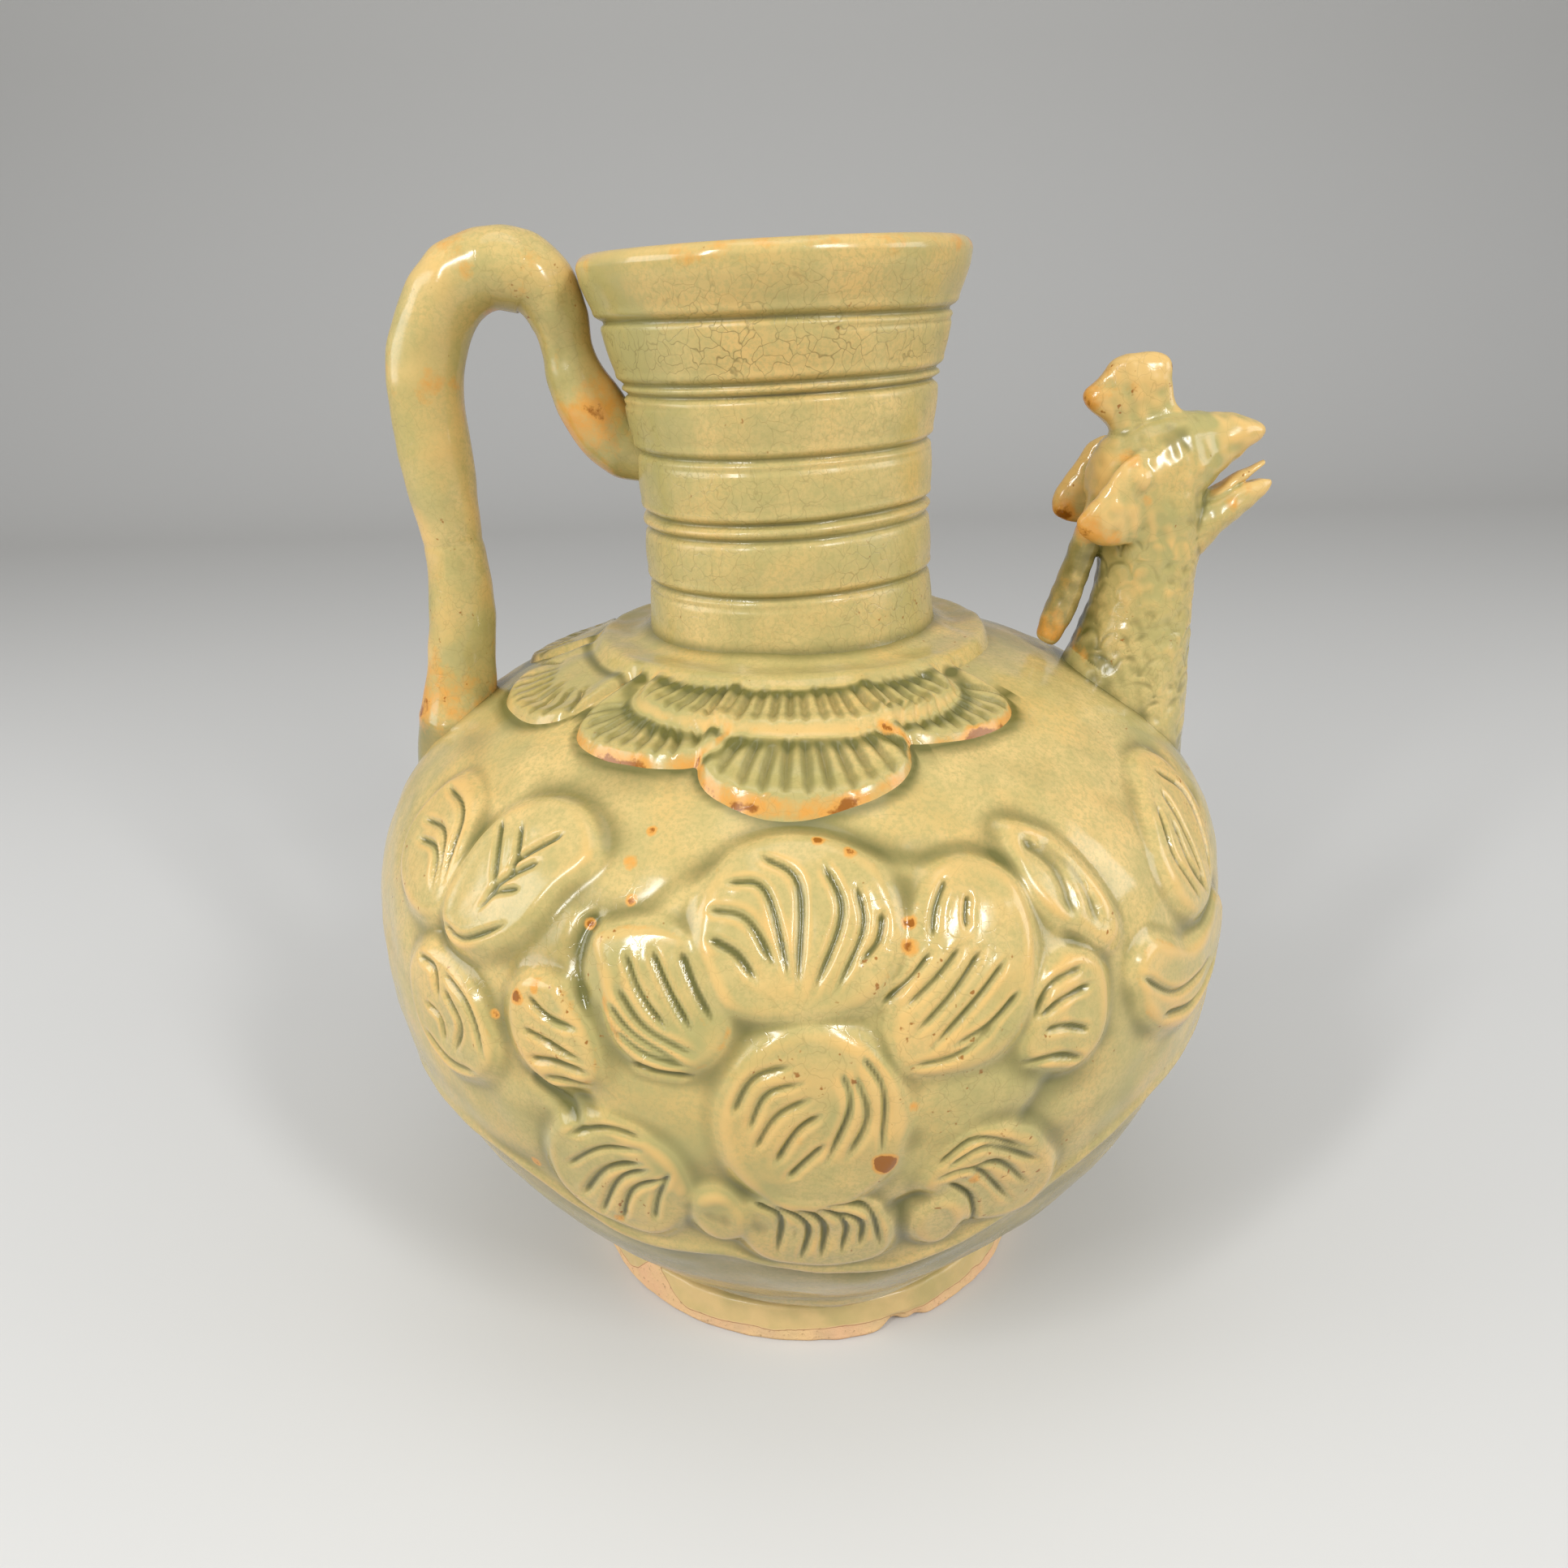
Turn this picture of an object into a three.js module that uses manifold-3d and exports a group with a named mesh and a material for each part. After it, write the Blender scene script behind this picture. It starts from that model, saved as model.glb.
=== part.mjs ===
// Stoneware wine ewer with a bird-head spout, in millimetres, +Z up, standing on z = 0.
// Front is -Y, the handle is towards -X and the spout towards +X.
// Each piece of clay that the potter joined is a mesh of its own.

import * as THREE from 'three';
import { mergeVertices } from 'three/addons/utils/BufferGeometryUtils.js';
import Module from 'manifold-3d';

const wasm = await Module();
wasm.setup();

// Joints between the pieces
const SEAM = 0.3;

// Body
const BODY_RADIUS = 90;
const BELLY_HEIGHT = 88;
const SHOULDER_RISE = 58.5;
const SHOULDER_SQUARENESS = 2.3;
const LOWER_DROP = 96;
const LOWER_SQUARENESS = 1.87;
const BODY_WALL = 5;
const BASE_THICKNESS = 6;

// Carving in low relief: azimuth of the middle in degrees, its height above the belly,
// half the width, half the height, and the tilt to the left in degrees
const RELIEF_RISE = 1.8;
const RELIEF_ROOT = 1.5;
const CARVED_PETALS = [
  [0, -2.5, 15.5, 18, -4],
  [-0.5, 28, 16.6, 12.3, 0],
  [17.2, 21, 12, 16.5, -22],
  [-15.5, 17.5, 12.4, 12, 15],
  [-22.5, -20, 12.3, 16.5, 0],
  [0.4, -28.5, 13.3, 11.8, 0],
  [21, -19, 13.7, 12.5, 0],
  [-37, 29.5, 15, 11.5, 20],
  [-55.7, 29, 11.8, 10.3, 0],
  [-44.5, 4.3, 13.3, 11.8, 0],
  [-28, 9, 9.3, 9.6, 0],
  [28.8, 9.5, 9.3, 10, 0],
  [32, 28.5, 6.5, 11.5, 35],
  [58.5, 25.3, 13.2, 13.8, 0],
  [54, 4, 21, 9.5, 0],
];

// Foot
const FOOT_HEIGHT = 9;
const FOOT_PROUD = 1.5;
const FOOT_SPREAD = 0.7;
const FOOT_WIDTH = 8;
const FOOT_CHAMFER = 0.8;

// Neck
const NECK_TOP = 218;
const NECK_RADIUS = 28.6;
const NECK_WALL = 5;
const NECK_LEAN = THREE.MathUtils.degToRad(1.3);
const LEAN_BLEND = 12;
const FLARE_HEIGHT = 42;
const FLARE_GAIN = 9.4;
const FLARE_POWER = 1.8;
const LIP_HEIGHT = 5;
const GROOVES_BELOW_RIM = [12.1, 23, 24.8, 35.7, 47.2, 50.3, 61.1];
const GROOVE_DEPTH = 0.7;
const GROOVE_HALF_WIDTH = 0.8;

// Shoulder collar
const FLANGE_WIDTH = 12.3;
const FLANGE_THICKNESS = 2.2;
const PETAL_THICKNESS = 1.3;
const PETAL_LIP = 2.3;

// Petals: middle and half angle in degrees, and reach beyond the flange at the ends and middle
const UPPER_PETAL = { half: 40, ends: 4.1, reach: 12.5 };
const LOWER_LOBES = [
  { at: 1, half: 15.4, ends: 18.1, reach: 26.9 },
  { at: -29.5, half: 14.2, ends: 15.1, reach: 20.6 },
  { at: 31.5, half: 14.2, ends: 12.1, reach: 17.1 },
  { at: -65, half: 20, ends: 11.1, reach: 20.6 },
];

// Handle
const HANDLE_THICKNESS = 13.8;
const HANDLE_REACH = 70.4;
const HANDLE_ABOVE_RIM = 5.1;

// Spout
const SPOUT_FOOT_RADIUS = 70;
const SPOUT_NECK_LENGTH = 31;
const SPOUT_FORWARD = 4;
const SPOUT_ROOT_RADIUS = 13.6;
const SPOUT_TOP_RADIUS = 10;
const SPOUT_BORE_RADIUS = 4.6;
const HEAD_BORE_RADIUS = 3.6;
const HEAD_HALF_WIDTH = 10.4;
const CREST_THICKNESS = 7;
const EAR_THICKNESS = 5.5;
const EAR_INNER_Y = 7.2;
const EYE_RADIUS = 2.9;
const PLATE_BEVEL = 1.2;
const PLUME_WIDTH = 8.5;
const PLUME_THICKNESS = 4.8;

// Facets
const BODY_SIDES = 64;
const CARVED_SIDES = 9;
const NECK_SIDES = 48;
const COIL_SIDES = 14;
const WELD = 1e-4;

// Turn any triangle geometry into one closed body with its faces out
function closedBody(source) {
  const bare = source.clone();
  bare.deleteAttribute('normal');
  bare.deleteAttribute('uv');
  const welded = mergeVertices(bare, WELD);
  const corners = welded.index.array;
  const kept = [];
  for (let i = 0; i < corners.length; i += 3) {
    const [a, b, c] = [corners[i], corners[i + 1], corners[i + 2]];
    if (a !== b && b !== c && c !== a) kept.push(a, b, c);
  }
  if (signedVolume(welded.attributes.position, kept) < 0) kept.reverse();
  welded.setIndex(kept);
  welded.computeVertexNormals();
  return welded;
}

function signedVolume(position, corners) {
  const [a, b, c] = [new THREE.Vector3(), new THREE.Vector3(), new THREE.Vector3()];
  let volume = 0;
  for (let i = 0; i < corners.length; i += 3) {
    a.fromBufferAttribute(position, corners[i]);
    b.fromBufferAttribute(position, corners[i + 1]);
    c.fromBufferAttribute(position, corners[i + 2]);
    volume += a.dot(b.cross(c)) / 6;
  }
  return volume;
}

// Booleans
function toSolid(geometry) {
  const body = closedBody(geometry);
  return new wasm.Manifold(new wasm.Mesh({
    numProp: 3,
    vertProperties: new Float32Array(body.attributes.position.array),
    triVerts: new Uint32Array(body.index.array),
  }));
}

function toGeometry(solid) {
  const mesh = solid.getMesh();
  const geometry = new THREE.BufferGeometry();
  geometry.setAttribute('position', new THREE.BufferAttribute(new Float32Array(mesh.vertProperties), 3));
  geometry.setIndex([...mesh.triVerts]);
  return geometry;
}

function cut(geometry, ...tools) {
  let solid = toSolid(geometry);
  for (const tool of tools) solid = solid.subtract(toSolid(tool));
  return toGeometry(solid);
}

function joined(geometry, ...additions) {
  let solid = toSolid(geometry);
  for (const addition of additions) solid = solid.add(toSolid(addition));
  return toGeometry(solid);
}

// A profile of [radius, height] points turned about the Z axis
function turned(profile, sides) {
  const points = profile.map(([radius, height]) => new THREE.Vector2(radius, height));
  const geometry = new THREE.LatheGeometry(points, sides);
  geometry.rotateX(Math.PI / 2);
  return geometry;
}

// A skin over rings of equal point counts, with both ends capped
function loft(rings) {
  const sides = rings[0].length;
  const positions = rings.flat().flatMap((point) => [point.x, point.y, point.z]);
  const index = [];
  for (let ring = 0; ring + 1 < rings.length; ring++) {
    for (let side = 0; side < sides; side++) {
      const here = ring * sides + side;
      const next = ring * sides + ((side + 1) % sides);
      index.push(here, next, here + sides);
      index.push(next, next + sides, here + sides);
    }
  }
  const last = (rings.length - 1) * sides;
  for (let side = 1; side + 1 < sides; side++) {
    index.push(0, side + 1, side);
    index.push(last, last + side, last + side + 1);
  }
  const geometry = new THREE.BufferGeometry();
  geometry.setAttribute('position', new THREE.Float32BufferAttribute(positions, 3));
  geometry.setIndex(index);
  return geometry;
}

// An ellipse in the plane of Y and the direction (alongX, alongZ)
function ellipse(x, z, alongX, alongZ, halfLength, halfWidth, sides) {
  return Array.from({ length: sides }, (_, side) => {
    const turn = (2 * Math.PI * side) / sides;
    const along = halfLength * Math.cos(turn);
    return new THREE.Vector3(x + alongX * along, halfWidth * Math.sin(turn), z + alongZ * along);
  });
}

// A coil of changing thickness along a path [x, z, radius] in the plane y = 0
function coil(path, rings, sides) {
  const line = new THREE.CatmullRomCurve3(path.map(([x, z]) => new THREE.Vector3(x, 0, z)));
  const radii = new THREE.CatmullRomCurve3(path.map(([, , radius], i) => new THREE.Vector3(i, 0, radius)));
  return loft(Array.from({ length: rings + 1 }, (_, ring) => {
    const t = ring / rings;
    const centre = line.getPoint(t);
    const tangent = line.getTangent(t);
    const radius = radii.getPoint(t).z;
    return ellipse(centre.x, centre.z, tangent.z, -tangent.x, radius, radius, sides);
  }));
}

// A smooth closed outline in the XZ plane, pressed out evenly to both sides of y
function pressedPlate(points, y, thickness, bevel) {
  const outline = new THREE.CatmullRomCurve3(points.map(([x, z]) => new THREE.Vector3(x, z, 0)), true);
  const shape = new THREE.Shape(outline.getPoints(points.length * 2).slice(0, -1));
  const geometry = new THREE.ExtrudeGeometry(shape, {
    depth: thickness - 2 * bevel,
    bevelThickness: bevel,
    bevelSize: bevel,
    bevelOffset: -bevel,
    bevelSegments: 2,
  });
  geometry.rotateX(Math.PI / 2);
  geometry.translate(0, y + thickness / 2 - bevel, 0);
  return geometry;
}

// Height of the shoulder's outer face at a radius, and of its inner face one wall further in
function shoulderHeight(radius, inset = 0) {
  const share = Math.min(1, radius / (BODY_RADIUS - inset));
  const rise = (1 - share ** SHOULDER_SQUARENESS) ** (1 / SHOULDER_SQUARENESS);
  return BELLY_HEIGHT + (SHOULDER_RISE - inset) * rise;
}

function lowerRadius(height, inset = 0) {
  const share = (BELLY_HEIGHT - height) / (LOWER_DROP - inset);
  return (BODY_RADIUS - inset) * Math.max(0, 1 - share ** LOWER_SQUARENESS) ** (1 / LOWER_SQUARENESS);
}

// Points on one face of the body wall, from the lowest height up to the given opening
function wallPoints(bottom, openingRadius, inset, steps) {
  const points = [];
  for (let i = 0; i < steps; i++) {
    const height = bottom + (BELLY_HEIGHT - bottom) * Math.sin((Math.PI / 2) * (i / steps));
    points.push([lowerRadius(height, inset), height]);
  }
  for (let i = 0; i <= steps; i++) {
    const turn = Math.PI / 2 * (i / steps);
    const radius = openingRadius + (BODY_RADIUS - inset - openingRadius) * Math.cos(turn);
    points.push([radius, shoulderHeight(radius, inset)]);
  }
  return points;
}

const NECK_BORE = NECK_RADIUS - NECK_WALL;

function bodyShell() {
  const bottom = FOOT_HEIGHT + SEAM;
  const outer = wallPoints(bottom, NECK_BORE, 0, 11);
  const inner = wallPoints(bottom + BASE_THICKNESS, NECK_BORE, BODY_WALL, 6).reverse();
  const profile = [[0, bottom], ...outer, ...inner, [0, bottom + BASE_THICKNESS]];
  const petals = CARVED_PETALS.flatMap((form) => [carvedPetal(form, 1), carvedPetal(form, -1)]);
  return cut(joined(turned(profile, BODY_SIDES), ...petals), pouringChannel());
}

// Radius of the body's face at any height, lifted off the wall
function faceRadius(height, lift) {
  if (height < BELLY_HEIGHT) return lowerRadius(height, -lift);
  const share = Math.min(1, (height - BELLY_HEIGHT) / (SHOULDER_RISE + lift));
  return (BODY_RADIUS + lift) * (1 - share ** SHOULDER_SQUARENESS) ** (1 / SHOULDER_SQUARENESS);
}

// One petal of the carved flower, rooted in the wall and clear of the collar.
// The side is 1 in front and -1 behind.
function carvedPetal([azimuth, rise, halfWidth, halfHeight, tilt], side) {
  const lean = THREE.MathUtils.degToRad(tilt);
  const ring = ([scale, lift]) => Array.from({ length: CARVED_SIDES }, (_, corner) => {
    const turn = (2 * Math.PI * corner) / CARVED_SIDES;
    const [x, y] = [halfWidth * scale * Math.cos(turn), halfHeight * scale * Math.sin(turn)];
    const height = BELLY_HEIGHT + rise + x * Math.sin(lean) + y * Math.cos(lean);
    const across = (x * Math.cos(lean) - y * Math.sin(lean)) / BODY_RADIUS;
    const angle = THREE.MathUtils.degToRad(azimuth) + across;
    const radius = faceRadius(height, lift);
    return new THREE.Vector3(radius * Math.sin(angle), -side * radius * Math.cos(angle), height);
  });
  const rings = [[1.06, -RELIEF_ROOT], [0.86, 0.9 * RELIEF_RISE], [0.5, RELIEF_RISE]].map(ring);
  const collar = LOWER_LOBES.map((shape) => petalEnvelope(side > 0 ? shape.at : 180 - shape.at, shape));
  return cut(loft(rings), ...collar);
}

// The space that the body and its joints take up, for cutting what is luted onto it
function bodyEnvelope() {
  const outer = wallPoints(FOOT_HEIGHT, 0, -SEAM, 11);
  return turned([[0, FOOT_HEIGHT], ...outer], BODY_SIDES);
}

// The foot stands a little proud of the body above it and spreads towards the ground
function footRing() {
  const top = lowerRadius(FOOT_HEIGHT + SEAM) + FOOT_PROUD;
  const bottom = top + FOOT_SPREAD;
  const inner = top - FOOT_WIDTH;
  const profile = [
    [bottom - FOOT_CHAMFER, 0],
    [bottom, FOOT_CHAMFER],
    [top, FOOT_HEIGHT],
    [inner, FOOT_HEIGHT],
    [inner, FOOT_CHAMFER],
    [inner + FOOT_CHAMFER, 0],
  ];
  return turned([...profile, profile[0]], BODY_SIDES);
}

// The thrown neck
const NECK_FOOT = shoulderHeight(NECK_RADIUS) + SEAM;

function neckRadius(height) {
  const flare = Math.max(0, (height - (NECK_TOP - FLARE_HEIGHT)) / FLARE_HEIGHT);
  return NECK_RADIUS + FLARE_GAIN * flare ** FLARE_POWER;
}

// The neck leans a little towards the handle, and its rim tilts with it
function leanNeck(geometry) {
  const position = geometry.attributes.position;
  const slope = Math.tan(NECK_LEAN);
  for (let i = 0; i < position.count; i++) {
    const rise = Math.max(0, position.getZ(i) - NECK_FOOT);
    const share = Math.min(1, rise / LEAN_BLEND);
    position.setZ(i, position.getZ(i) + share * slope * position.getX(i));
    position.setX(i, position.getX(i) - slope * rise);
  }
  return geometry;
}

function neckOuterPoints() {
  const lipStart = NECK_TOP - LIP_HEIGHT;
  const lowest = NECK_FOOT + 2 * GROOVE_HALF_WIDTH;
  const points = [[NECK_RADIUS, NECK_FOOT]];
  const grooves = GROOVES_BELOW_RIM.map((depth) => NECK_TOP - depth)
    .filter((height) => height > lowest)
    .sort((a, b) => a - b);
  for (const height of grooves) {
    points.push([neckRadius(height - GROOVE_HALF_WIDTH), height - GROOVE_HALF_WIDTH]);
    points.push([neckRadius(height) - GROOVE_DEPTH, height]);
    points.push([neckRadius(height + GROOVE_HALF_WIDTH), height + GROOVE_HALF_WIDTH]);
  }
  const underLip = (lipStart + grooves.at(-1)) / 2;
  points.push([neckRadius(underLip), underLip]);
  points.push([neckRadius(lipStart), lipStart]);
  return points;
}

// The rolled lip, from the outside over the top and down into the mouth
function lipPoints() {
  const middle = NECK_TOP - LIP_HEIGHT / 2;
  const outer = neckRadius(middle);
  return Array.from({ length: 7 }, (_, i) => {
    const turn = (Math.PI * i) / 6;
    const reach = (NECK_WALL / 2) * (1 + Math.cos(turn));
    return [outer - NECK_WALL + reach, middle + (LIP_HEIGHT / 2) * Math.sin(turn)];
  });
}

function neck() {
  const inner = [];
  for (let i = 0; i <= 5; i++) {
    const height = NECK_TOP - LIP_HEIGHT - (FLARE_HEIGHT - LIP_HEIGHT) * (i / 5);
    inner.push([neckRadius(height) - NECK_WALL, height]);
  }
  inner.push([NECK_BORE, shoulderHeight(NECK_BORE) + SEAM]);
  const profile = [...neckOuterPoints(), ...lipPoints(), ...inner];
  return leanNeck(turned([...profile, profile[0]], NECK_SIDES));
}

function neckEnvelope() {
  const top = NECK_TOP + SEAM;
  const profile = [[0, NECK_FOOT]];
  for (let i = 0; i <= 12; i++) {
    const height = NECK_FOOT + (top - NECK_FOOT) * (i / 12);
    profile.push([neckRadius(height) + SEAM, height]);
  }
  profile.push([0, top]);
  return leanNeck(turned(profile, NECK_SIDES));
}

// The collar on the shoulder
const FLANGE_INNER = NECK_RADIUS + 2 * SEAM;
const FLANGE_RADIUS = NECK_RADIUS + FLANGE_WIDTH;

function shoulderFlange() {
  const under = [];
  const over = [];
  for (let i = 0; i <= 4; i++) {
    const radius = FLANGE_INNER + (FLANGE_RADIUS - FLANGE_INNER) * (i / 4);
    const swell = 0.55 + 0.45 * Math.abs(2 * (i / 4) - 1);
    const edge = i === 4 ? 0.6 : 1;
    under.push([radius, shoulderHeight(radius) + SEAM]);
    over.push([radius, shoulderHeight(radius) + SEAM + FLANGE_THICKNESS * swell * edge]);
  }
  const profile = [...under, ...over.reverse()];
  return turned([...profile, profile[0]], NECK_SIDES);
}

// How far a petal reaches from the axis at an angle from its middle
function petalReach({ half, ends, reach }, angle) {
  const share = Math.min(1, Math.abs(angle) / half);
  return FLANGE_RADIUS + ends + (reach - ends) * Math.sqrt(1 - share ** 2.5);
}

// The angle that one seam takes up at a petal's ends
function seamAngle({ ends }) {
  return THREE.MathUtils.radToDeg(SEAM / (FLANGE_RADIUS + ends));
}

// A point over the shoulder, with azimuth in degrees from the front towards the spout
function onShoulder(azimuth, radius, lift) {
  const turn = THREE.MathUtils.degToRad(azimuth);
  return new THREE.Vector3(
    radius * Math.sin(turn),
    -radius * Math.cos(turn),
    shoulderHeight(radius) + SEAM + lift,
  );
}

// One dished petal with a raised outer lip, lying on the shoulder around the flange
function petal(middle, shape) {
  const section = [
    [0, 0], [0.33, 0], [0.66, 0], [1, 0],
    [1, PETAL_LIP * 0.6], [0.88, PETAL_LIP], [0.6, PETAL_THICKNESS], [0.3, PETAL_THICKNESS],
    [0, PETAL_THICKNESS],
  ];
  return petalLoft(middle, shape, shape.half - seamAngle(shape), 0, section);
}

// The upper petal's place with a seam around it, from under the shoulder to above the collar
function petalEnvelope(middle, shape) {
  const above = 2 * PETAL_LIP;
  const section = [[0, -above], [1, -above], [1, above], [0, above]];
  return petalLoft(middle, shape, shape.half + seamAngle(shape), 2 * SEAM, section);
}

function petalLoft(middle, shape, halfAngle, grow, section) {
  const stations = 10;
  const inner = FLANGE_RADIUS + SEAM - grow;
  const rings = [];
  for (let i = 0; i <= stations; i++) {
    const angle = halfAngle * Math.sin((Math.PI / 2) * ((2 * i) / stations - 1));
    const outer = petalReach(shape, angle) + grow;
    rings.push(section.map(([share, lift]) => (
      onShoulder(middle + angle, inner + (outer - inner) * share, lift))));
  }
  return loft(rings);
}

function collarLobe(middle, shape) {
  return cut(petal(middle, shape), petalEnvelope(0, UPPER_PETAL), petalEnvelope(180, UPPER_PETAL));
}

// The coil's thickness at the top of its arch, as a share of the handle's
const ARCH_SWELL = 1.09;

// The handle's outer leg and arch: share of the reach from the axis, share of the height from
// the shoulder to the arch, and share of the thickness
const HANDLE_LEG = [
  [1.03, -0.1, 1.1], [1.02, 0, 1.07], [1, 0.09, 1.03], [0.982, 0.2, 0.98], [0.971, 0.33, 0.9],
  [0.974, 0.43, 0.89], [0.986, 0.53, 0.95], [0.997, 0.635, 1.04], [1, 0.716, 1.04], [0.99, 0.808, 1.06],
  [0.957, 0.892, 1.08], [0.887, 0.965, ARCH_SWELL], [0.778, 1, ARCH_SWELL], [0.664, 0.97, 1.02],
];

// The limb that comes back to the neck: distance out from the neck's face, share of the height
// and share of the thickness
const HANDLE_LIMB = [
  [9.3, 0.896, 0.82], [9.9, 0.828, 0.72], [9.9, 0.77, 0.84], [8.6, 0.712, 0.97], [6.2, 0.655, 0.93],
  [2.6, 0.614, 0.78], [-2.2, 0.592, 0.66],
];

function handlePath() {
  const half = HANDLE_THICKNESS / 2;
  const root = shoulderHeight(HANDLE_REACH);
  const arch = NECK_TOP + HANDLE_ABOVE_RIM - half * ARCH_SWELL;
  const heightAt = (share) => root + (arch - root) * share;
  const leg = HANDLE_LEG.map(([reach, height, thickness]) => (
    [-HANDLE_REACH * reach, heightAt(height), half * thickness]));
  const limb = HANDLE_LIMB.map(([out, height, thickness]) => (
    [-neckRadius(heightAt(height)) - out, heightAt(height), half * thickness]));
  return [...leg, ...limb];
}

function handle() {
  return cut(coil(handlePath(), 50, COIL_SIDES), bodyEnvelope(), neckEnvelope());
}

// The bird: its neck stands on the shoulder and its head on the neck
const SPOUT_FOOT_HEIGHT = shoulderHeight(SPOUT_FOOT_RADIUS);
const HEAD_X = SPOUT_FOOT_RADIUS + SPOUT_FORWARD;
const HEAD_Z = SPOUT_FOOT_HEIGHT + SPOUT_NECK_LENGTH;

// The bird's neck: forward of its foot as a share, up as a share of its length, and the share
// of the way from the root's radius to the top's
const SPOUT_NECK_ROWS = [
  [0, -0.45, 0], [-0.02, -0.07, -0.02], [0.05, 0.16, 0.08], [0.33, 0.35, 0.4], [0.62, 0.55, 0.72],
  [0.88, 0.84, 0.98], [1, 1, 1],
];

function spoutNeckRings(grow) {
  const sides = 20;
  const length = SPOUT_NECK_LENGTH - SEAM;
  return SPOUT_NECK_ROWS.map(([forward, up, share]) => {
    const radius = SPOUT_ROOT_RADIUS + (SPOUT_TOP_RADIUS - SPOUT_ROOT_RADIUS) * share + grow;
    const x = SPOUT_FOOT_RADIUS + SPOUT_FORWARD * forward;
    return ellipse(x, SPOUT_FOOT_HEIGHT + length * up, 1, 0, radius, radius * 0.96, sides);
  });
}

function spoutNeck() {
  return cut(loft(spoutNeckRings(0)), bodyEnvelope(), pouringChannel());
}

// The channel that the wine runs through, from inside the body to the open beak
function pouringChannel() {
  const bore = SPOUT_BORE_RADIUS;
  const narrow = HEAD_BORE_RADIUS;
  return coil([
    [SPOUT_FOOT_RADIUS - 4, SPOUT_FOOT_HEIGHT - 16, bore],
    [SPOUT_FOOT_RADIUS - 1, SPOUT_FOOT_HEIGHT - 4, bore],
    [SPOUT_FOOT_RADIUS + 1, SPOUT_FOOT_HEIGHT + SPOUT_NECK_LENGTH * 0.5, bore],
    [HEAD_X, HEAD_Z - 3, bore],
    [HEAD_X + 1, HEAD_Z + 6, narrow],
    [HEAD_X + 5, HEAD_Z + 12, narrow],
    [HEAD_X + 11, HEAD_Z + 14.2, narrow],
    [HEAD_X + 24, HEAD_Z + 15.5, narrow],
  ], 18, 12);
}

// The head as slices that swing round the corner of the beak, each from the front edge
// [x, z] to the back edge [x, z], with the half width as a share of the head's
const HEAD_SLICES = [
  [[10, 0], [-10, 0], 0.92],
  [[10, 3], [-12.4, 5], 0.97],
  [[9.8, 7], [-14, 12], 1],
  [[9.7, 10], [-12.6, 19], 0.98],
  [[11.5, 12.3], [-7.3, 24], 0.86],
  [[13.5, 14.6], [0, 26.2], 0.68],
  [[15.8, 16.8], [7, 26], 0.5],
  [[18.3, 18.7], [14, 25.5], 0.36],
  [[20.2, 19.8], [19.4, 23.9], 0.22],
  [[20.9, 20.8], [21, 22.6], 0.1],
];

function headLoft(grow) {
  return loft(HEAD_SLICES.map(([front, back, share]) => {
    const [dx, dz] = [front[0] - back[0], front[1] - back[1]];
    const length = Math.hypot(dx, dz);
    const x = HEAD_X + (front[0] + back[0]) / 2;
    const z = HEAD_Z + (front[1] + back[1]) / 2;
    const halfWidth = HEAD_HALF_WIDTH * share + grow;
    return ellipse(x, z, dx / length, dz / length, length / 2 + grow, halfWidth, 20);
  }));
}

function phoenixHead() {
  return cut(headLoft(0), pouringChannel());
}

// Slices of the lower beak [x, upper z, lower z, half width], from the throat to the tip
function lowerBeak() {
  const slices = [
    [6, 8.2, -4.6, 5.4],
    [10.2, 9.2, -3.9, 5.2],
    [12.4, 9.5, 0.4, 4.9],
    [15, 9.8, 3.5, 4.2],
    [18.2, 10.8, 6.4, 3.1],
    [21.2, 12.3, 9.6, 1.8],
    [22.3, 12.8, 11.6, 0.8],
  ];
  const rings = slices.map(([x, upper, lower, halfWidth]) => ellipse(
    HEAD_X + x, HEAD_Z + (upper + lower) / 2, 0, 1, (upper - lower) / 2, halfWidth, 12));
  return cut(loft(rings), headLoft(SEAM), loft(spoutNeckRings(SEAM)));
}

// The tongue lies just over the lower beak
function tongue() {
  const slices = [
    [12.2, 10.75, 1, 2.4],
    [15, 11.75, 1, 2.2],
    [18, 13.1, 0.9, 1.7],
    [21.4, 15.4, 0.6, 1],
  ];
  const rings = slices.map(([x, z, halfHeight, halfWidth]) => ellipse(
    HEAD_X + x, HEAD_Z + z, 0, 1, halfHeight, halfWidth, 10));
  return cut(loft(rings), headLoft(SEAM));
}

function crest() {
  const outline = [
    [-9.2, 21], [-11.4, 24.5], [-14.8, 27.4], [-15.4, 30.2], [-12.8, 32.8],
    [-10.6, 35.4], [-8, 36.9], [-1.4, 37], [1, 35.4], [1.6, 31],
    [2.6, 27.4], [4.4, 23.5], [-2, 21],
  ];
  const points = outline.map(([x, z]) => [HEAD_X + x, HEAD_Z + z]);
  return cut(pressedPlate(points, 0, CREST_THICKNESS, PLATE_BEVEL), headLoft(SEAM));
}

// A leaf-shaped flap on one side of the head
function ear(side) {
  const outline = [
    [-8.2, 20.6], [-11.6, 19.4], [-15.2, 13.6], [-18.2, 8.4],
    [-17.6, 4.6], [-13.4, 2.8], [-10.2, 5.2], [-9, 12],
  ];
  const points = outline.map(([x, z]) => [HEAD_X + x, HEAD_Z + z]);
  const y = side * (EAR_INNER_Y + EAR_THICKNESS / 2);
  const flap = pressedPlate(points, y, EAR_THICKNESS, PLATE_BEVEL);
  return cut(flap, headLoft(SEAM), loft(spoutNeckRings(SEAM)));
}

function eye(side) {
  const pellet = new THREE.SphereGeometry(EYE_RADIUS, 14, 10);
  pellet.scale(1, 0.75, 1);
  pellet.translate(HEAD_X - 4.8, side * HEAD_HALF_WIDTH * 0.93, HEAD_Z + 15.2);
  return cut(pellet, headLoft(SEAM));
}

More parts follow.
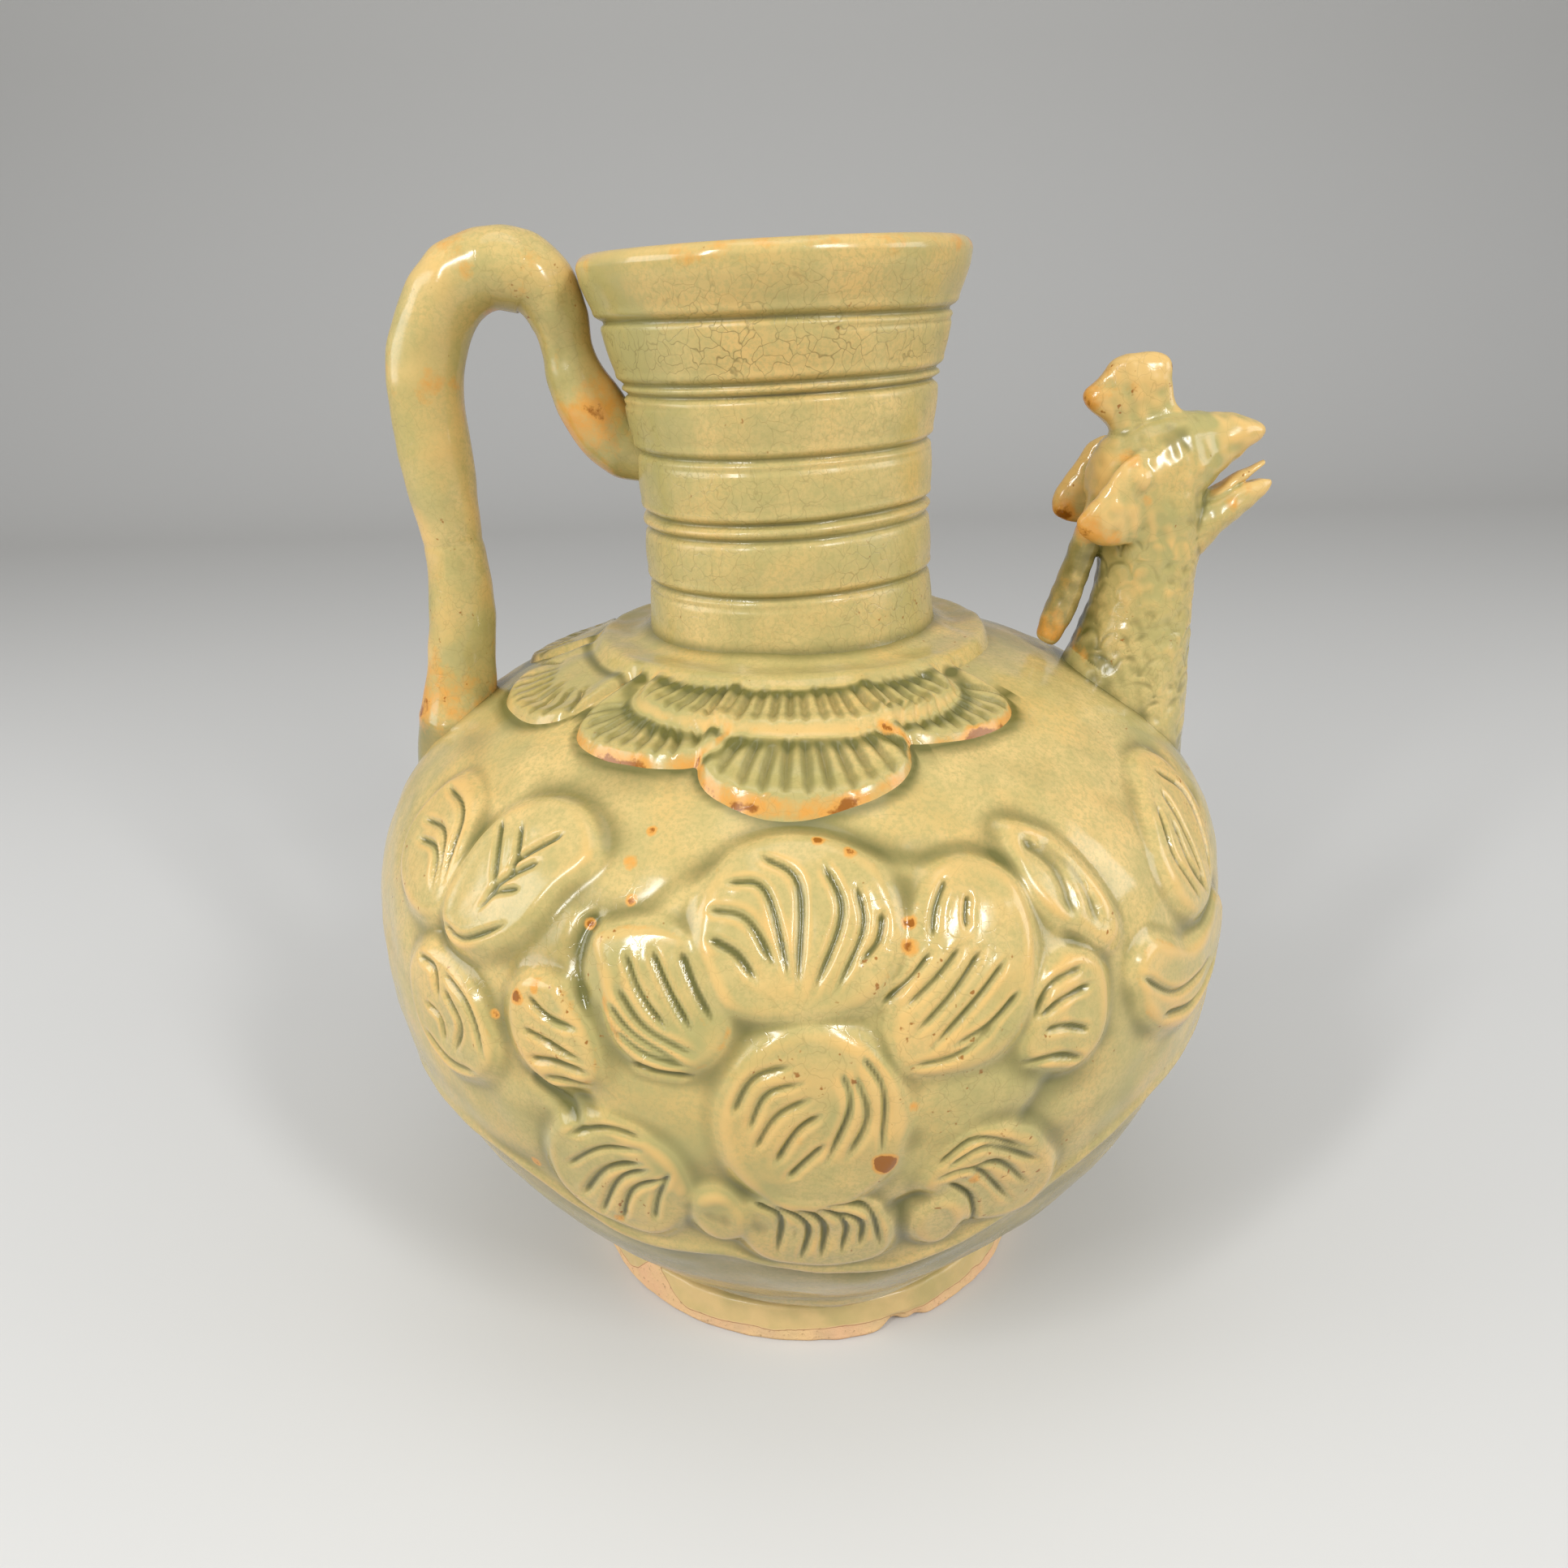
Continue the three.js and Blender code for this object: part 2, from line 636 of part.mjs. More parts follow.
// The strip of clay down the back of the bird's neck, free at its lower end
function napePlume() {
  const spine = [[-9.5, 8], [-13, 1], [-15.2, -6], [-18, -13.5], [-20.8, -20]];
  const points = spine.map(([x, z]) => new THREE.Vector3(HEAD_X + x, 0, HEAD_Z + z));
  const line = new THREE.CatmullRomCurve3(points);
  const rings = Array.from({ length: 11 }, (_, i) => {
    const centre = line.getPoint(i / 10);
    const tangent = line.getTangent(i / 10);
    const swell = 0.85 + 0.15 * Math.sin((Math.PI * i) / 10);
    return ellipse(centre.x, centre.z, tangent.z, -tangent.x,
      (PLUME_THICKNESS / 2) * swell, (PLUME_WIDTH / 2) * swell, 12);
  });
  return cut(loft(rings), headLoft(SEAM), loft(spoutNeckRings(SEAM)), bodyEnvelope());
}

// Glaze and clay colours
const GLAZE = { color: 0xbdb57c, roughness: 0.18, metalness: 0 };
const THIN_GLAZE = { color: 0xcbb078, roughness: 0.2, metalness: 0 };
const BARE_CLAY = { color: 0xdcb48a, roughness: 0.75, metalness: 0 };

const pot = new THREE.Group();

function place(name, geometry, finish) {
  const mesh = new THREE.Mesh(closedBody(geometry), new THREE.MeshStandardMaterial(finish));
  mesh.name = name;
  pot.add(mesh);
}

place('foot_ring', footRing(), BARE_CLAY);
place('body_shell', bodyShell(), GLAZE);
place('neck', neck(), GLAZE);
place('shoulder_flange', shoulderFlange(), GLAZE);
place('upper_petal_front', petal(0, UPPER_PETAL), THIN_GLAZE);
place('upper_petal_back', petal(180, UPPER_PETAL), THIN_GLAZE);
LOWER_LOBES.forEach((shape, i) => {
  place(`collar_lobe_front_${i + 1}`, collarLobe(shape.at, shape), THIN_GLAZE);
  place(`collar_lobe_back_${i + 1}`, collarLobe(180 - shape.at, shape), THIN_GLAZE);
});
place('handle', handle(), GLAZE);
place('spout_neck', spoutNeck(), GLAZE);
place('phoenix_head', phoenixHead(), GLAZE);
place('lower_beak', lowerBeak(), GLAZE);
place('tongue', tongue(), THIN_GLAZE);
place('crest', crest(), GLAZE);
place('ear_near', ear(-1), THIN_GLAZE);
place('ear_far', ear(1), THIN_GLAZE);
place('eye_near', eye(-1), THIN_GLAZE);
place('eye_far', eye(1), THIN_GLAZE);
place('nape_plume', napePlume(), THIN_GLAZE);

// The origin is under the middle of the whole pot
const reach = new THREE.Box3().setFromObject(pot);
const middle = reach.getCenter(new THREE.Vector3());
pot.position.set(-middle.x, -middle.y, 0);

export default pot;
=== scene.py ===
"""Glazed stoneware wine ewer with a bird-head spout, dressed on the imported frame.

Shapes are worked out in millimetres about the body's own axis: azimuth runs in degrees from the
front (-Y) towards the spout (+X), and heights run up from the ground.
"""
from math import cos, pi, radians, sin

import bpy
import numpy as np
from mathutils import Matrix, Vector


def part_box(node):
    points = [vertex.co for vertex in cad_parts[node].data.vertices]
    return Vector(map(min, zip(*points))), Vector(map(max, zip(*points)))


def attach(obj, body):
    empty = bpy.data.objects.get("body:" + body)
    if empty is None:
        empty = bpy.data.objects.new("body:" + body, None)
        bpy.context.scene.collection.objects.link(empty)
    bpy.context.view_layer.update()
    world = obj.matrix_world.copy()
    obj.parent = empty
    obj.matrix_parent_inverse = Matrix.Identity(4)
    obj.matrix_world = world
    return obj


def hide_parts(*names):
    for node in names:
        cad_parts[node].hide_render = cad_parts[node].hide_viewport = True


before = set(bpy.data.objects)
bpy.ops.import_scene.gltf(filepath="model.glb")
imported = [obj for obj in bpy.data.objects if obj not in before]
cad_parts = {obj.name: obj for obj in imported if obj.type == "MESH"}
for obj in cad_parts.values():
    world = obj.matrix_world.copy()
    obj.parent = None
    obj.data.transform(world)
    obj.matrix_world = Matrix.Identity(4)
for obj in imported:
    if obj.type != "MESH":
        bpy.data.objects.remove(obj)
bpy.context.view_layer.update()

MM = 0.001


# Sizes taken from the frame
def box_mm(node):
    low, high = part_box(node)
    return np.array(low) / MM, np.array(high) / MM


BODY_LOW, BODY_HIGH = box_mm("body_shell")
FOOT_LOW, FOOT_HIGH = box_mm("foot_ring")
AXIS_X = (BODY_LOW[0] + BODY_HIGH[0]) / 2
BODY_RADIUS = (BODY_HIGH[0] - BODY_LOW[0]) / 2
FOOT_HEIGHT = FOOT_HIGH[2]
FOOT_RADIUS = (FOOT_HIGH[1] - FOOT_LOW[1]) / 2

# Body
BELLY_HEIGHT = 88.0
SHOULDER_RISE = 58.5
SHOULDER_SQUARENESS = 2.3
LOWER_DROP = 96.0
LOWER_SQUARENESS = 1.87
BODY_WALL = 5.0
BODY_BOTTOM = 9.3
BASE_THICKNESS = 6.0

# Neck
NECK_TOP = 218.0
NECK_RADIUS = 28.6
NECK_WALL = 5.0
NECK_LEAN = radians(1.3)
LEAN_BLEND = 12.0
FLARE_HEIGHT = 42.0
FLARE_GAIN = 9.4
FLARE_POWER = 1.8
LIP_HEIGHT = 5.0
GROOVES_BELOW_RIM = (12.1, 23.0, 24.8, 35.7, 47.2, 50.3, 61.1)

# Collar. Each petal has an azimuth, half its turn, how far its ends and its middle reach past the
# flange, and its strokes' count, length, fan and depth, then its rise and how far its rim is fired
FLANGE_WIDTH = 12.3
FLANGE_THICKNESS = 2.4
FLANGE_RADIUS = NECK_RADIUS + FLANGE_WIDTH
PETAL_KEYS = ("at", "half", "ends", "reach", "strokes", "length", "fan", "cut", "rise", "burn")
UPPER_PETAL, *LOWER_LOBES = (dict(zip(PETAL_KEYS, row)) for row in (
    (0, 40, 4.1, 12.5, 22, 8.5, 3.0, 0.95, 1.9, 0.3),
    (1, 19, 15.5, 26.9, 11, 9.5, 3.0, 1.0, 2.0, 1.0),
    (-29.5, 17, 12.5, 20.6, 10, 7.0, 5.0, 0.9, 1.9, 0.9),
    (31.5, 17, 10.5, 17.6, 10, 7.0, 5.0, 0.9, 1.7, 0.9),
    (-68, 19, 10.5, 20, 9, 7.0, 6.0, 0.9, 1.4, 0.35),
))

# Handle
HANDLE_THICKNESS = 13.8
HANDLE_REACH = 70.4
HANDLE_ABOVE_RIM = 5.1
ARCH_SWELL = 1.09

# Spout
SPOUT_FOOT_RADIUS = 70.0
SPOUT_NECK_LENGTH = 31.0
SPOUT_FORWARD = 4.0
SPOUT_ROOT_RADIUS = 13.6
SPOUT_TOP_RADIUS = 10.0
HEAD_HALF_WIDTH = 10.4
CREST_THICKNESS = 7.0
EAR_THICKNESS = 5.5
EAR_INNER_Y = 7.2
EYE_RADIUS = 2.9

# How far a piece is sunk into what carries it, so that the glazed joints show no gap
SUNK = 0.7


# Number helpers
def smoothstep(low, high, value):
    share = np.clip((value - low) / (high - low), 0.0, 1.0)
    return share * share * (3.0 - 2.0 * share)


def bell(away, width):
    """1 at no distance, and falling off smoothly over about the width."""
    return np.exp(-(away / width) ** 2)


def smooth_path(points, steps, closed=False):
    """A Catmull-Rom curve through points of any dimension, sampled evenly between them."""
    points = np.asarray(points, float)
    if closed:
        padded = np.vstack([points[-1:], points, points[:2]])
    else:
        padded = np.vstack([2 * points[0] - points[1], points, 2 * points[-1] - points[-2]])
    t = np.linspace(0, 1, steps, endpoint=False)[:, None]
    pieces = []
    for a, b, c, d in zip(padded, padded[1:], padded[2:], padded[3:]):
        pieces.append(0.5 * (2 * b + (c - a) * t + (2 * a - 5 * b + 4 * c - d) * t ** 2
                             + (3 * b - a - 3 * c + d) * t ** 3))
    curve = np.vstack(pieces)
    return curve if closed else np.vstack([curve, points[-1:]])


def evenly(points, count):
    """The same curve with its points spread evenly along it."""
    lengths = np.hypot(*np.diff(points[:, :2], axis=0).T)
    along = np.concatenate([[0.0], np.cumsum(lengths)])
    wanted = np.linspace(0, along[-1], count)
    return np.column_stack([np.interp(wanted, along, column) for column in points.T])


def lumps(points, size, seed, waves=14):
    """Smooth seeded unevenness between about -1 and 1, with lumps of the given size."""
    chance = np.random.default_rng(seed)
    total = np.zeros(points.shape[:-1])
    for _ in range(waves):
        direction = chance.normal(size=3)
        direction *= 2 * pi / size * chance.uniform(0.5, 1.3) / np.linalg.norm(direction)
        total += np.sin(points @ direction + chance.uniform(0, 2 * pi))
    return total / np.sqrt(2 * waves)


def hand_made(points, layers):
    """Layers of lumps put together, each with its size, seed and height."""
    return sum(height * lumps(points, size, seed) for size, seed, height in layers)


def ripple(turn, waves):
    """Waves round the pot put together, each with its count, phase and height."""
    return sum(height * np.sin(count * turn + phase) for count, phase, height in waves)


def bumps(along, places):
    """Bells put together, each with its place, width and height."""
    return sum(height * bell(along - place, width) for place, width, height in places)


# Mesh helpers
def tube_faces(rows, columns):
    """Quads over rings of equal point counts."""
    here = np.arange(columns)
    after = (here + 1) % columns
    first = np.arange(rows - 1)[:, None] * columns
    quads = np.stack([first + here, first + after, first + columns + after, first + columns + here], -1)
    return quads.reshape(-1, 4).tolist()


def capped_tube(rings):
    """Points and faces of a closed skin over rings, with a middle point at each end."""
    rows, columns = rings.shape[:2]
    points = np.vstack([rings.reshape(-1, 3), rings[0].mean(0), rings[-1].mean(0)])
    faces = tube_faces(rows, columns)
    start, end = rows * columns, rows * columns + 1
    last = (rows - 1) * columns
    for side in range(columns):
        after = (side + 1) % columns
        faces.append([start, after, side])
        faces.append([end, last + side, last + after])
    return points, faces


def torus_faces(rows, columns):
    """Quads over rings that close on themselves both ways."""
    faces = np.array(tube_faces(rows + 1, columns))
    return (faces % (rows * columns)).tolist()


def split_faces(faces):
    """Triangles that cover the faces, as an array of corners."""
    quads = np.array([face for face in faces if len(face) == 4]).reshape(-1, 4)
    triples = np.array([face for face in faces if len(face) == 3]).reshape(-1, 3)
    return np.vstack([quads[:, [0, 1, 2]], quads[:, [0, 2, 3]], triples]).astype(int)


def turned_out(points, faces):
    """The faces of a closed skin, turned so that they look outwards."""
    triangles = split_faces(faces)
    a, b, c = (points[triangles[:, i]] for i in range(3))
    inside_out = np.sum(a * np.cross(b, c)) < 0
    return [face[::-1] for face in faces] if inside_out else faces


def outward(points, faces):
    """The unit normal at each point."""
    triangles = split_faces(faces)
    a, b, c = (points[triangles[:, i]] for i in range(3))
    flat = np.cross(b - a, c - a)
    normals = np.zeros_like(points)
    for corner in range(3):
        for axis in range(3):
            normals[:, axis] += np.bincount(triangles[:, corner], flat[:, axis], len(points))
    return normals / (np.linalg.norm(normals, axis=1, keepdims=True) + 1e-12)


def neighbours(faces):
    """Every pair of points that share a triangle's side, both ways round."""
    triangles = split_faces(faces)
    sides = np.vstack([triangles[:, [0, 1]], triangles[:, [1, 2]], triangles[:, [2, 0]]])
    sides = np.unique(np.sort(sides, 1), axis=0)
    return np.vstack([sides, sides[:, ::-1]])


def mean_around(values, pairs):
    """The mean of a value, or of each column of values, over each point's neighbours."""
    if values.ndim > 1:
        return np.column_stack([mean_around(column, pairs) for column in values.T])
    count = np.bincount(pairs[:, 0], minlength=len(values))
    return np.bincount(pairs[:, 0], values[pairs[:, 1]], len(values)) / count


def curvature(points, faces, reach, rounds):
    """How convex the surface is at each point, -1 to 1, for forms of about the given reach."""
    pairs = neighbours(faces)
    first, second = pairs.T
    squares = np.sum((points[first] - points[second]) ** 2, 1)
    spread = np.bincount(first, squares, len(points)) / np.bincount(first, minlength=len(points))
    pull = mean_around(points, pairs) - points
    bend = -2 * np.sum(pull * outward(points, faces), 1) / (spread + 1e-9)
    for _ in range(rounds):
        bend = 0.5 * bend + 0.5 * mean_around(bend, pairs)
    return np.tanh(bend * reach)


def link_object(name, data):
    thing = bpy.data.objects.new(name, data)
    bpy.context.collection.objects.link(thing)
    return thing


def add_piece(name, points, faces, material, replaced, **stored_values):
    """A closed skin in place of CAD nodes, from points in millimetres, with values stored at them."""
    mesh = bpy.data.meshes.new("skin_" + name)
    world = (points + np.array([AXIS_X, 0, 0])) * MM
    mesh.from_pydata(world.tolist(), [], turned_out(points, faces))
    mesh.polygons.foreach_set("use_smooth", [True] * len(mesh.polygons))
    for value_name, values in stored_values.items():
        mesh.attributes.new(value_name, "FLOAT", "POINT").data.foreach_set("value", np.ravel(values))
    mesh.materials.append(material)
    piece = link_object("skin_" + name, mesh)
    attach(piece, "root")
    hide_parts(*replaced)


# Node helpers
def new_material(name):
    material = bpy.data.materials.new(name)
    material.use_nodes = True
    tree = material.node_tree
    tree.nodes.clear()
    output = tree.nodes.new("ShaderNodeOutputMaterial")
    shader = tree.nodes.new("ShaderNodeBsdfPrincipled")
    tree.links.new(shader.outputs["BSDF"], output.inputs["Surface"])
    return material, tree, shader


def noise(tree, coordinates, scale, detail=3.0, roughness=0.5, distortion=0.0):
    node = tree.nodes.new("ShaderNodeTexNoise")
    node.inputs["Scale"].default_value = scale
    node.inputs["Detail"].default_value = detail
    node.inputs["Roughness"].default_value = roughness
    node.inputs["Distortion"].default_value = distortion
    tree.links.new(coordinates, node.inputs["Vector"])
    return node.outputs["Fac"]


def ramp(tree, factor, stops):
    node = tree.nodes.new("ShaderNodeValToRGB")
    elements = node.color_ramp.elements
    while len(elements) < len(stops):
        elements.new(0.5)
    for element, (position, value) in zip(elements, stops):
        element.position = position
        element.color = (value, value, value, 1.0)
    tree.links.new(factor, node.inputs["Fac"])
    return node.outputs["Color"]


def feed(tree, socket, value):
    if isinstance(value, bpy.types.NodeSocket):
        tree.links.new(value, socket)
    elif isinstance(value, tuple):
        socket.default_value = (*value, 1.0)
    else:
        socket.default_value = value


def mix(tree, factor, first, second):
    node = tree.nodes.new("ShaderNodeMix")
    node.data_type = "RGBA"
    for index, value in ((0, factor), (6, first), (7, second)):
        feed(tree, node.inputs[index], value)
    return node.outputs[2]


def maths(operation, first, second):
    """A sum in the tree that the first value comes from."""
    tree = first.id_data
    node = tree.nodes.new("ShaderNodeMath")
    node.operation = operation
    for socket, value in zip(node.inputs, (first, second)):
        feed(tree, socket, value)
    return node.outputs[0]


def add(first, second):
    return maths("ADD", first, second)


def times(first, second):
    return maths("MULTIPLY", first, second)


def moved_place(tree, shift):
    """Object coordinates with a shift of their own, so that no two materials share a pattern."""
    place = tree.nodes.new("ShaderNodeTexCoord").outputs["Object"]
    shifted = tree.nodes.new("ShaderNodeVectorMath")
    shifted.inputs[1].default_value = (shift, shift * 0.37, -shift * 0.61)
    tree.links.new(place, shifted.inputs[0])
    return shifted.outputs[0]


def stored(tree, name):
    attribute = tree.nodes.new("ShaderNodeAttribute")
    attribute.attribute_name = name
    return attribute.outputs["Fac"]


def add_bump(tree, shader, height, strength, distance):
    bump = tree.nodes.new("ShaderNodeBump")
    bump.inputs["Strength"].default_value = strength
    bump.inputs["Distance"].default_value = distance
    tree.links.new(height, bump.inputs["Height"])
    tree.links.new(bump.outputs["Normal"], shader.inputs["Normal"])


def crackle(tree, place, scale, width):
    """A net of hair-fine cracks, 1 on a crack."""
    net = tree.nodes.new("ShaderNodeTexVoronoi")
    net.feature = "DISTANCE_TO_EDGE"
    net.inputs["Scale"].default_value = scale
    bent = tree.nodes.new("ShaderNodeVectorMath")
    bent.operation = "MULTIPLY_ADD"
    bent.inputs[1].default_value = (0.006, 0.006, 0.006)
    swirl = tree.nodes.new("ShaderNodeTexNoise")
    swirl.inputs["Scale"].default_value = scale * 0.6
    tree.links.new(place, swirl.inputs["Vector"])
    tree.links.new(swirl.outputs["Color"], bent.inputs[0])
    tree.links.new(place, bent.inputs[2])
    tree.links.new(bent.outputs[0], net.inputs["Vector"])
    return ramp(tree, net.outputs["Distance"], [(0.0, 1.0), (width, 0.0)])


# Glaze
GLAZE_LIGHT = (0.68, 0.495, 0.195)
GLAZE_OLIVE = (0.41, 0.36, 0.134)
# Colour of pooled glaze, also used for the painted shade that relief carries
POOLED_GLAZE_AND_SHADE = (0.125, 0.12, 0.03)
GLAZE_THIN = (0.73, 0.465, 0.158)
RUST = (0.27, 0.08, 0.0)
BURNT = (0.71, 0.33, 0.06)
CRACK = (0.18, 0.135, 0.04)
GLAZE_IOR = 1.46
BUMP_DEPTH = 0.6 * MM

# Sizes of the glaze's patterns, in blotches a metre
CLOUDS = 24.0
BUFF_PATCHES = 47.0
MOTTLE = 150.0
GRAIN = 1100.0
UNEVENNESS = 55.0
STREAKS = 120.0
CRAZED_PATCHES = 30.0
SPECKS = 480.0
FIRED_BLOTCHES = 230.0
FINE_CRACKS = 330.0
WIDE_CRACKS = 130.0
WIDE_CRACK_PATCHES = 19.0
WEAR = 70.0
WAVES = 75.0


def glaze_material(name, thin_share, shift):
    """Celadon glaze: pale olive, green where it pools, buff where it is drawn thin, crackled.

    The stored values: relief is below 0 where glaze pools and where shade is painted on (under the
    body's ledge, in the kick above the foot and just past the flange's edge), and above 0 where it is
    thin; burn is how far it has fired to rust, and craze is how dense the crackle is. A ramp's stops
    are a level of its pattern and what it gives there.
    """
    material, tree, shader = new_material(name)
    place = moved_place(tree, shift)
    relief = stored(tree, "relief")

    clouds = noise(tree, place, CLOUDS, 4.0, 0.6, 0.4)
    colour = mix(tree, ramp(tree, clouds, [(0.36, 0.0), (0.64, 1.0)]), GLAZE_LIGHT, GLAZE_OLIVE)
    mottle = ramp(tree, noise(tree, place, MOTTLE, 4.0, 0.65), [(0.4, 0.0), (0.7, 0.65)])
    colour = mix(tree, mottle, colour, GLAZE_OLIVE)
    buff = ramp(tree, noise(tree, place, BUFF_PATCHES, 3.0, 0.6), [(0.47, 0.0), (0.7, 0.65)])
    colour = mix(tree, buff, colour, GLAZE_THIN)
    grain = ramp(tree, noise(tree, place, GRAIN, 2.0, 0.7), [(0.38, 0.5), (0.56, 0.0)])
    colour = mix(tree, grain, colour, GLAZE_OLIVE)

    uneven = times(add(noise(tree, place, UNEVENNESS, 3.0), -0.5), 0.7)
    thin = add(add(relief, uneven), thin_share)
    streaks = ramp(tree, noise(tree, place, STREAKS), [(0.35, 0.0), (0.7, 0.55)])
    thin_colour = mix(tree, streaks, GLAZE_THIN, GLAZE_LIGHT)
    colour = mix(tree, ramp(tree, thin, [(0.22, 0.0), (0.75, 0.9)]), colour, thin_colour)
    # Pooled glaze and painted shade, both from relief below 0, darken toward the pool colour
    pool_and_shade = times(add(relief, times(uneven, 0.35)), -1.0)
    colour = mix(tree, ramp(tree, pool_and_shade, [(0.08, 0.0), (0.45, 0.5), (1.0, 0.95)]), colour, POOLED_GLAZE_AND_SHADE)

    patches = noise(tree, place, CRAZED_PATCHES, 2.0)
    specks = add(add(noise(tree, place, SPECKS, 2.0, 0.7), times(patches, 0.35)), times(thin, 0.05))
    burn = add(stored(tree, "burn"), times(add(noise(tree, place, FIRED_BLOTCHES, 4.0, 0.65), -0.5), 1.3))
    colour = mix(tree, ramp(tree, burn, [(0.42, 0.0), (0.8, 0.9)]), colour, BURNT)
    colour = mix(tree, ramp(tree, burn, [(0.86, 0.0), (1.25, 0.9)]), colour, RUST)
    colour = mix(tree, ramp(tree, specks, [(0.90, 0.0), (0.96, 0.8)]), colour, RUST)

    craze = stored(tree, "craze")
    dense = add(ramp(tree, patches, [(0.38, 0.0), (0.6, 0.22)]), craze)
    fine = times(crackle(tree, place, FINE_CRACKS, width=0.035), dense)
    colour = mix(tree, fine, colour, CRACK)
    wide = ramp(tree, noise(tree, place, WIDE_CRACK_PATCHES), [(0.45, 0.0), (0.6, 0.15)])
    colour = mix(tree, times(crackle(tree, place, WIDE_CRACKS, width=0.016), wide), colour, CRACK)
    tree.links.new(colour, shader.inputs["Base Color"])

    worn = ramp(tree, noise(tree, place, WEAR, 4.0, 0.65), [(0.35, 0.11), (0.7, 0.26)])
    tree.links.new(add(worn, times(craze, 0.4)), shader.inputs["Roughness"])
    shader.inputs["IOR"].default_value = GLAZE_IOR
    waves = add(noise(tree, place, WAVES, 3.0, 0.5), times(fine, -0.25))
    add_bump(tree, shader, waves, strength=0.35, distance=BUMP_DEPTH)
    return material


# Bare clay
CLAY_BUFF = (0.78, 0.54, 0.26)
CLAY_PINK = (0.80, 0.49, 0.27)
CLAY_GREY = (0.46, 0.35, 0.23)
BROWN_EDGE = (0.30, 0.13, 0.045)
GRIT = (0.26, 0.15, 0.07)
CLAY_BUMP_DEPTH = 0.5 * MM

# Sizes of the clay's patterns, in blotches a metre
CLAY_EDGE = 160.0
CLAY_CLOUDS = 60.0
CLAY_DIRT = 35.0
CLAY_GRIT = 900.0
CLAY_GRAIN = 240.0
CLAY_STREAKS = 110.0


def clay_material(name):
    """Bare stoneware under a wash of glaze that stops at a brown line; relief is the height above it."""
    material, tree, shader = new_material(name)
    place = moved_place(tree, 2.9)
    wash = add(stored(tree, "relief"), times(add(noise(tree, place, CLAY_EDGE, 3.0), -0.5), 0.5))
    clouds = noise(tree, place, CLAY_CLOUDS, 4.0, 0.6)
    colour = mix(tree, ramp(tree, clouds, [(0.38, 0.0), (0.62, 1.0)]), CLAY_BUFF, CLAY_PINK)
    dirt = ramp(tree, noise(tree, place, CLAY_DIRT, 4.0, 0.65), [(0.5, 0.0), (0.72, 0.7)])
    colour = mix(tree, dirt, colour, CLAY_GREY)
    grit = noise(tree, place, CLAY_GRIT, 2.0, 0.7)
    colour = mix(tree, ramp(tree, grit, [(0.60, 0.0), (0.72, 0.6)]), colour, GRIT)
    edge = ramp(tree, wash, [(0.0, 0.0), (0.03, 0.9), (0.12, 0.0)])
    glazed = ramp(tree, wash, [(0.05, 0.0), (0.16, 1.0)])
    streaks = ramp(tree, noise(tree, place, CLAY_STREAKS, 3.0), [(0.4, 0.0), (0.7, 0.6)])
    washed = mix(tree, streaks, mix(tree, 0.45, GLAZE_LIGHT, CLAY_BUFF), GLAZE_OLIVE)
    colour = mix(tree, glazed, colour, washed)
    colour = mix(tree, edge, colour, BROWN_EDGE)
    tree.links.new(colour, shader.inputs["Base Color"])
    tree.links.new(ramp(tree, wash, [(0.02, 0.85), (0.2, 0.28)]), shader.inputs["Roughness"])
    coarse = add(grit, noise(tree, place, CLAY_GRAIN, 3.0))
    coarse = times(coarse, ramp(tree, glazed, [(0.0, 1.0), (1.0, 0.25)]))
    add_bump(tree, shader, coarse, strength=0.5, distance=CLAY_BUMP_DEPTH)
    return material


glaze = glaze_material("celadon_glaze", thin_share=0.0, shift=0.3)
thin_glaze = glaze_material("thin_celadon_glaze", thin_share=0.05, shift=1.7)
bare_clay = clay_material("bare_stoneware")


# The body's face
def shoulder_height(radius, inset=0.0):
    share = np.clip(np.asarray(radius) / (BODY_RADIUS - inset), 0, 1)
    rise = (1 - share ** SHOULDER_SQUARENESS) ** (1 / SHOULDER_SQUARENESS)
    return BELLY_HEIGHT + (SHOULDER_RISE - inset) * rise


def lower_radius(height, inset=0.0):
    share = np.clip((BELLY_HEIGHT - np.asarray(height)) / (LOWER_DROP - inset), 0, 1)
    return (BODY_RADIUS - inset) * (1 - share ** LOWER_SQUARENESS) ** (1 / LOWER_SQUARENESS)


NECK_FOOT = float(shoulder_height(NECK_RADIUS))
NECK_BORE = NECK_RADIUS - NECK_WALL

# The grid over the body: half of each finely cut side, and its columns' steps, in degrees
FACE_HALF = 66.0
FINE_TURN = 0.34
COARSE_TURN = 0.9


def wall_outline(bottom, inset):
    """Dense points [radius, height] of one face of the body's wall, from its base to the neck."""
    heights = bottom + (BELLY_HEIGHT - bottom) * np.sin(np.linspace(0, pi / 2, 400, endpoint=False))
    radii = NECK_BORE + (BODY_RADIUS - inset - NECK_BORE) * np.cos(np.linspace(0, pi / 2, 500))
    lower = np.column_stack([lower_radius(heights, inset), heights])
    upper = np.column_stack([radii, shoulder_height(radii, inset)])
    return np.vstack([lower, upper])


def along_outline(outline):
    steps = np.hypot(*np.diff(outline, axis=0).T)
    return np.concatenate([[0.0], np.cumsum(steps)])


def body_columns():
    """Azimuths of the grid's columns, close together over the two carved sides."""
    fine = np.arange(-FACE_HALF, FACE_HALF, FINE_TURN)
    coarse = np.arange(FACE_HALF, 180 - FACE_HALF, COARSE_TURN)
    return np.concatenate([fine, coarse, fine + 180, coarse + 180])


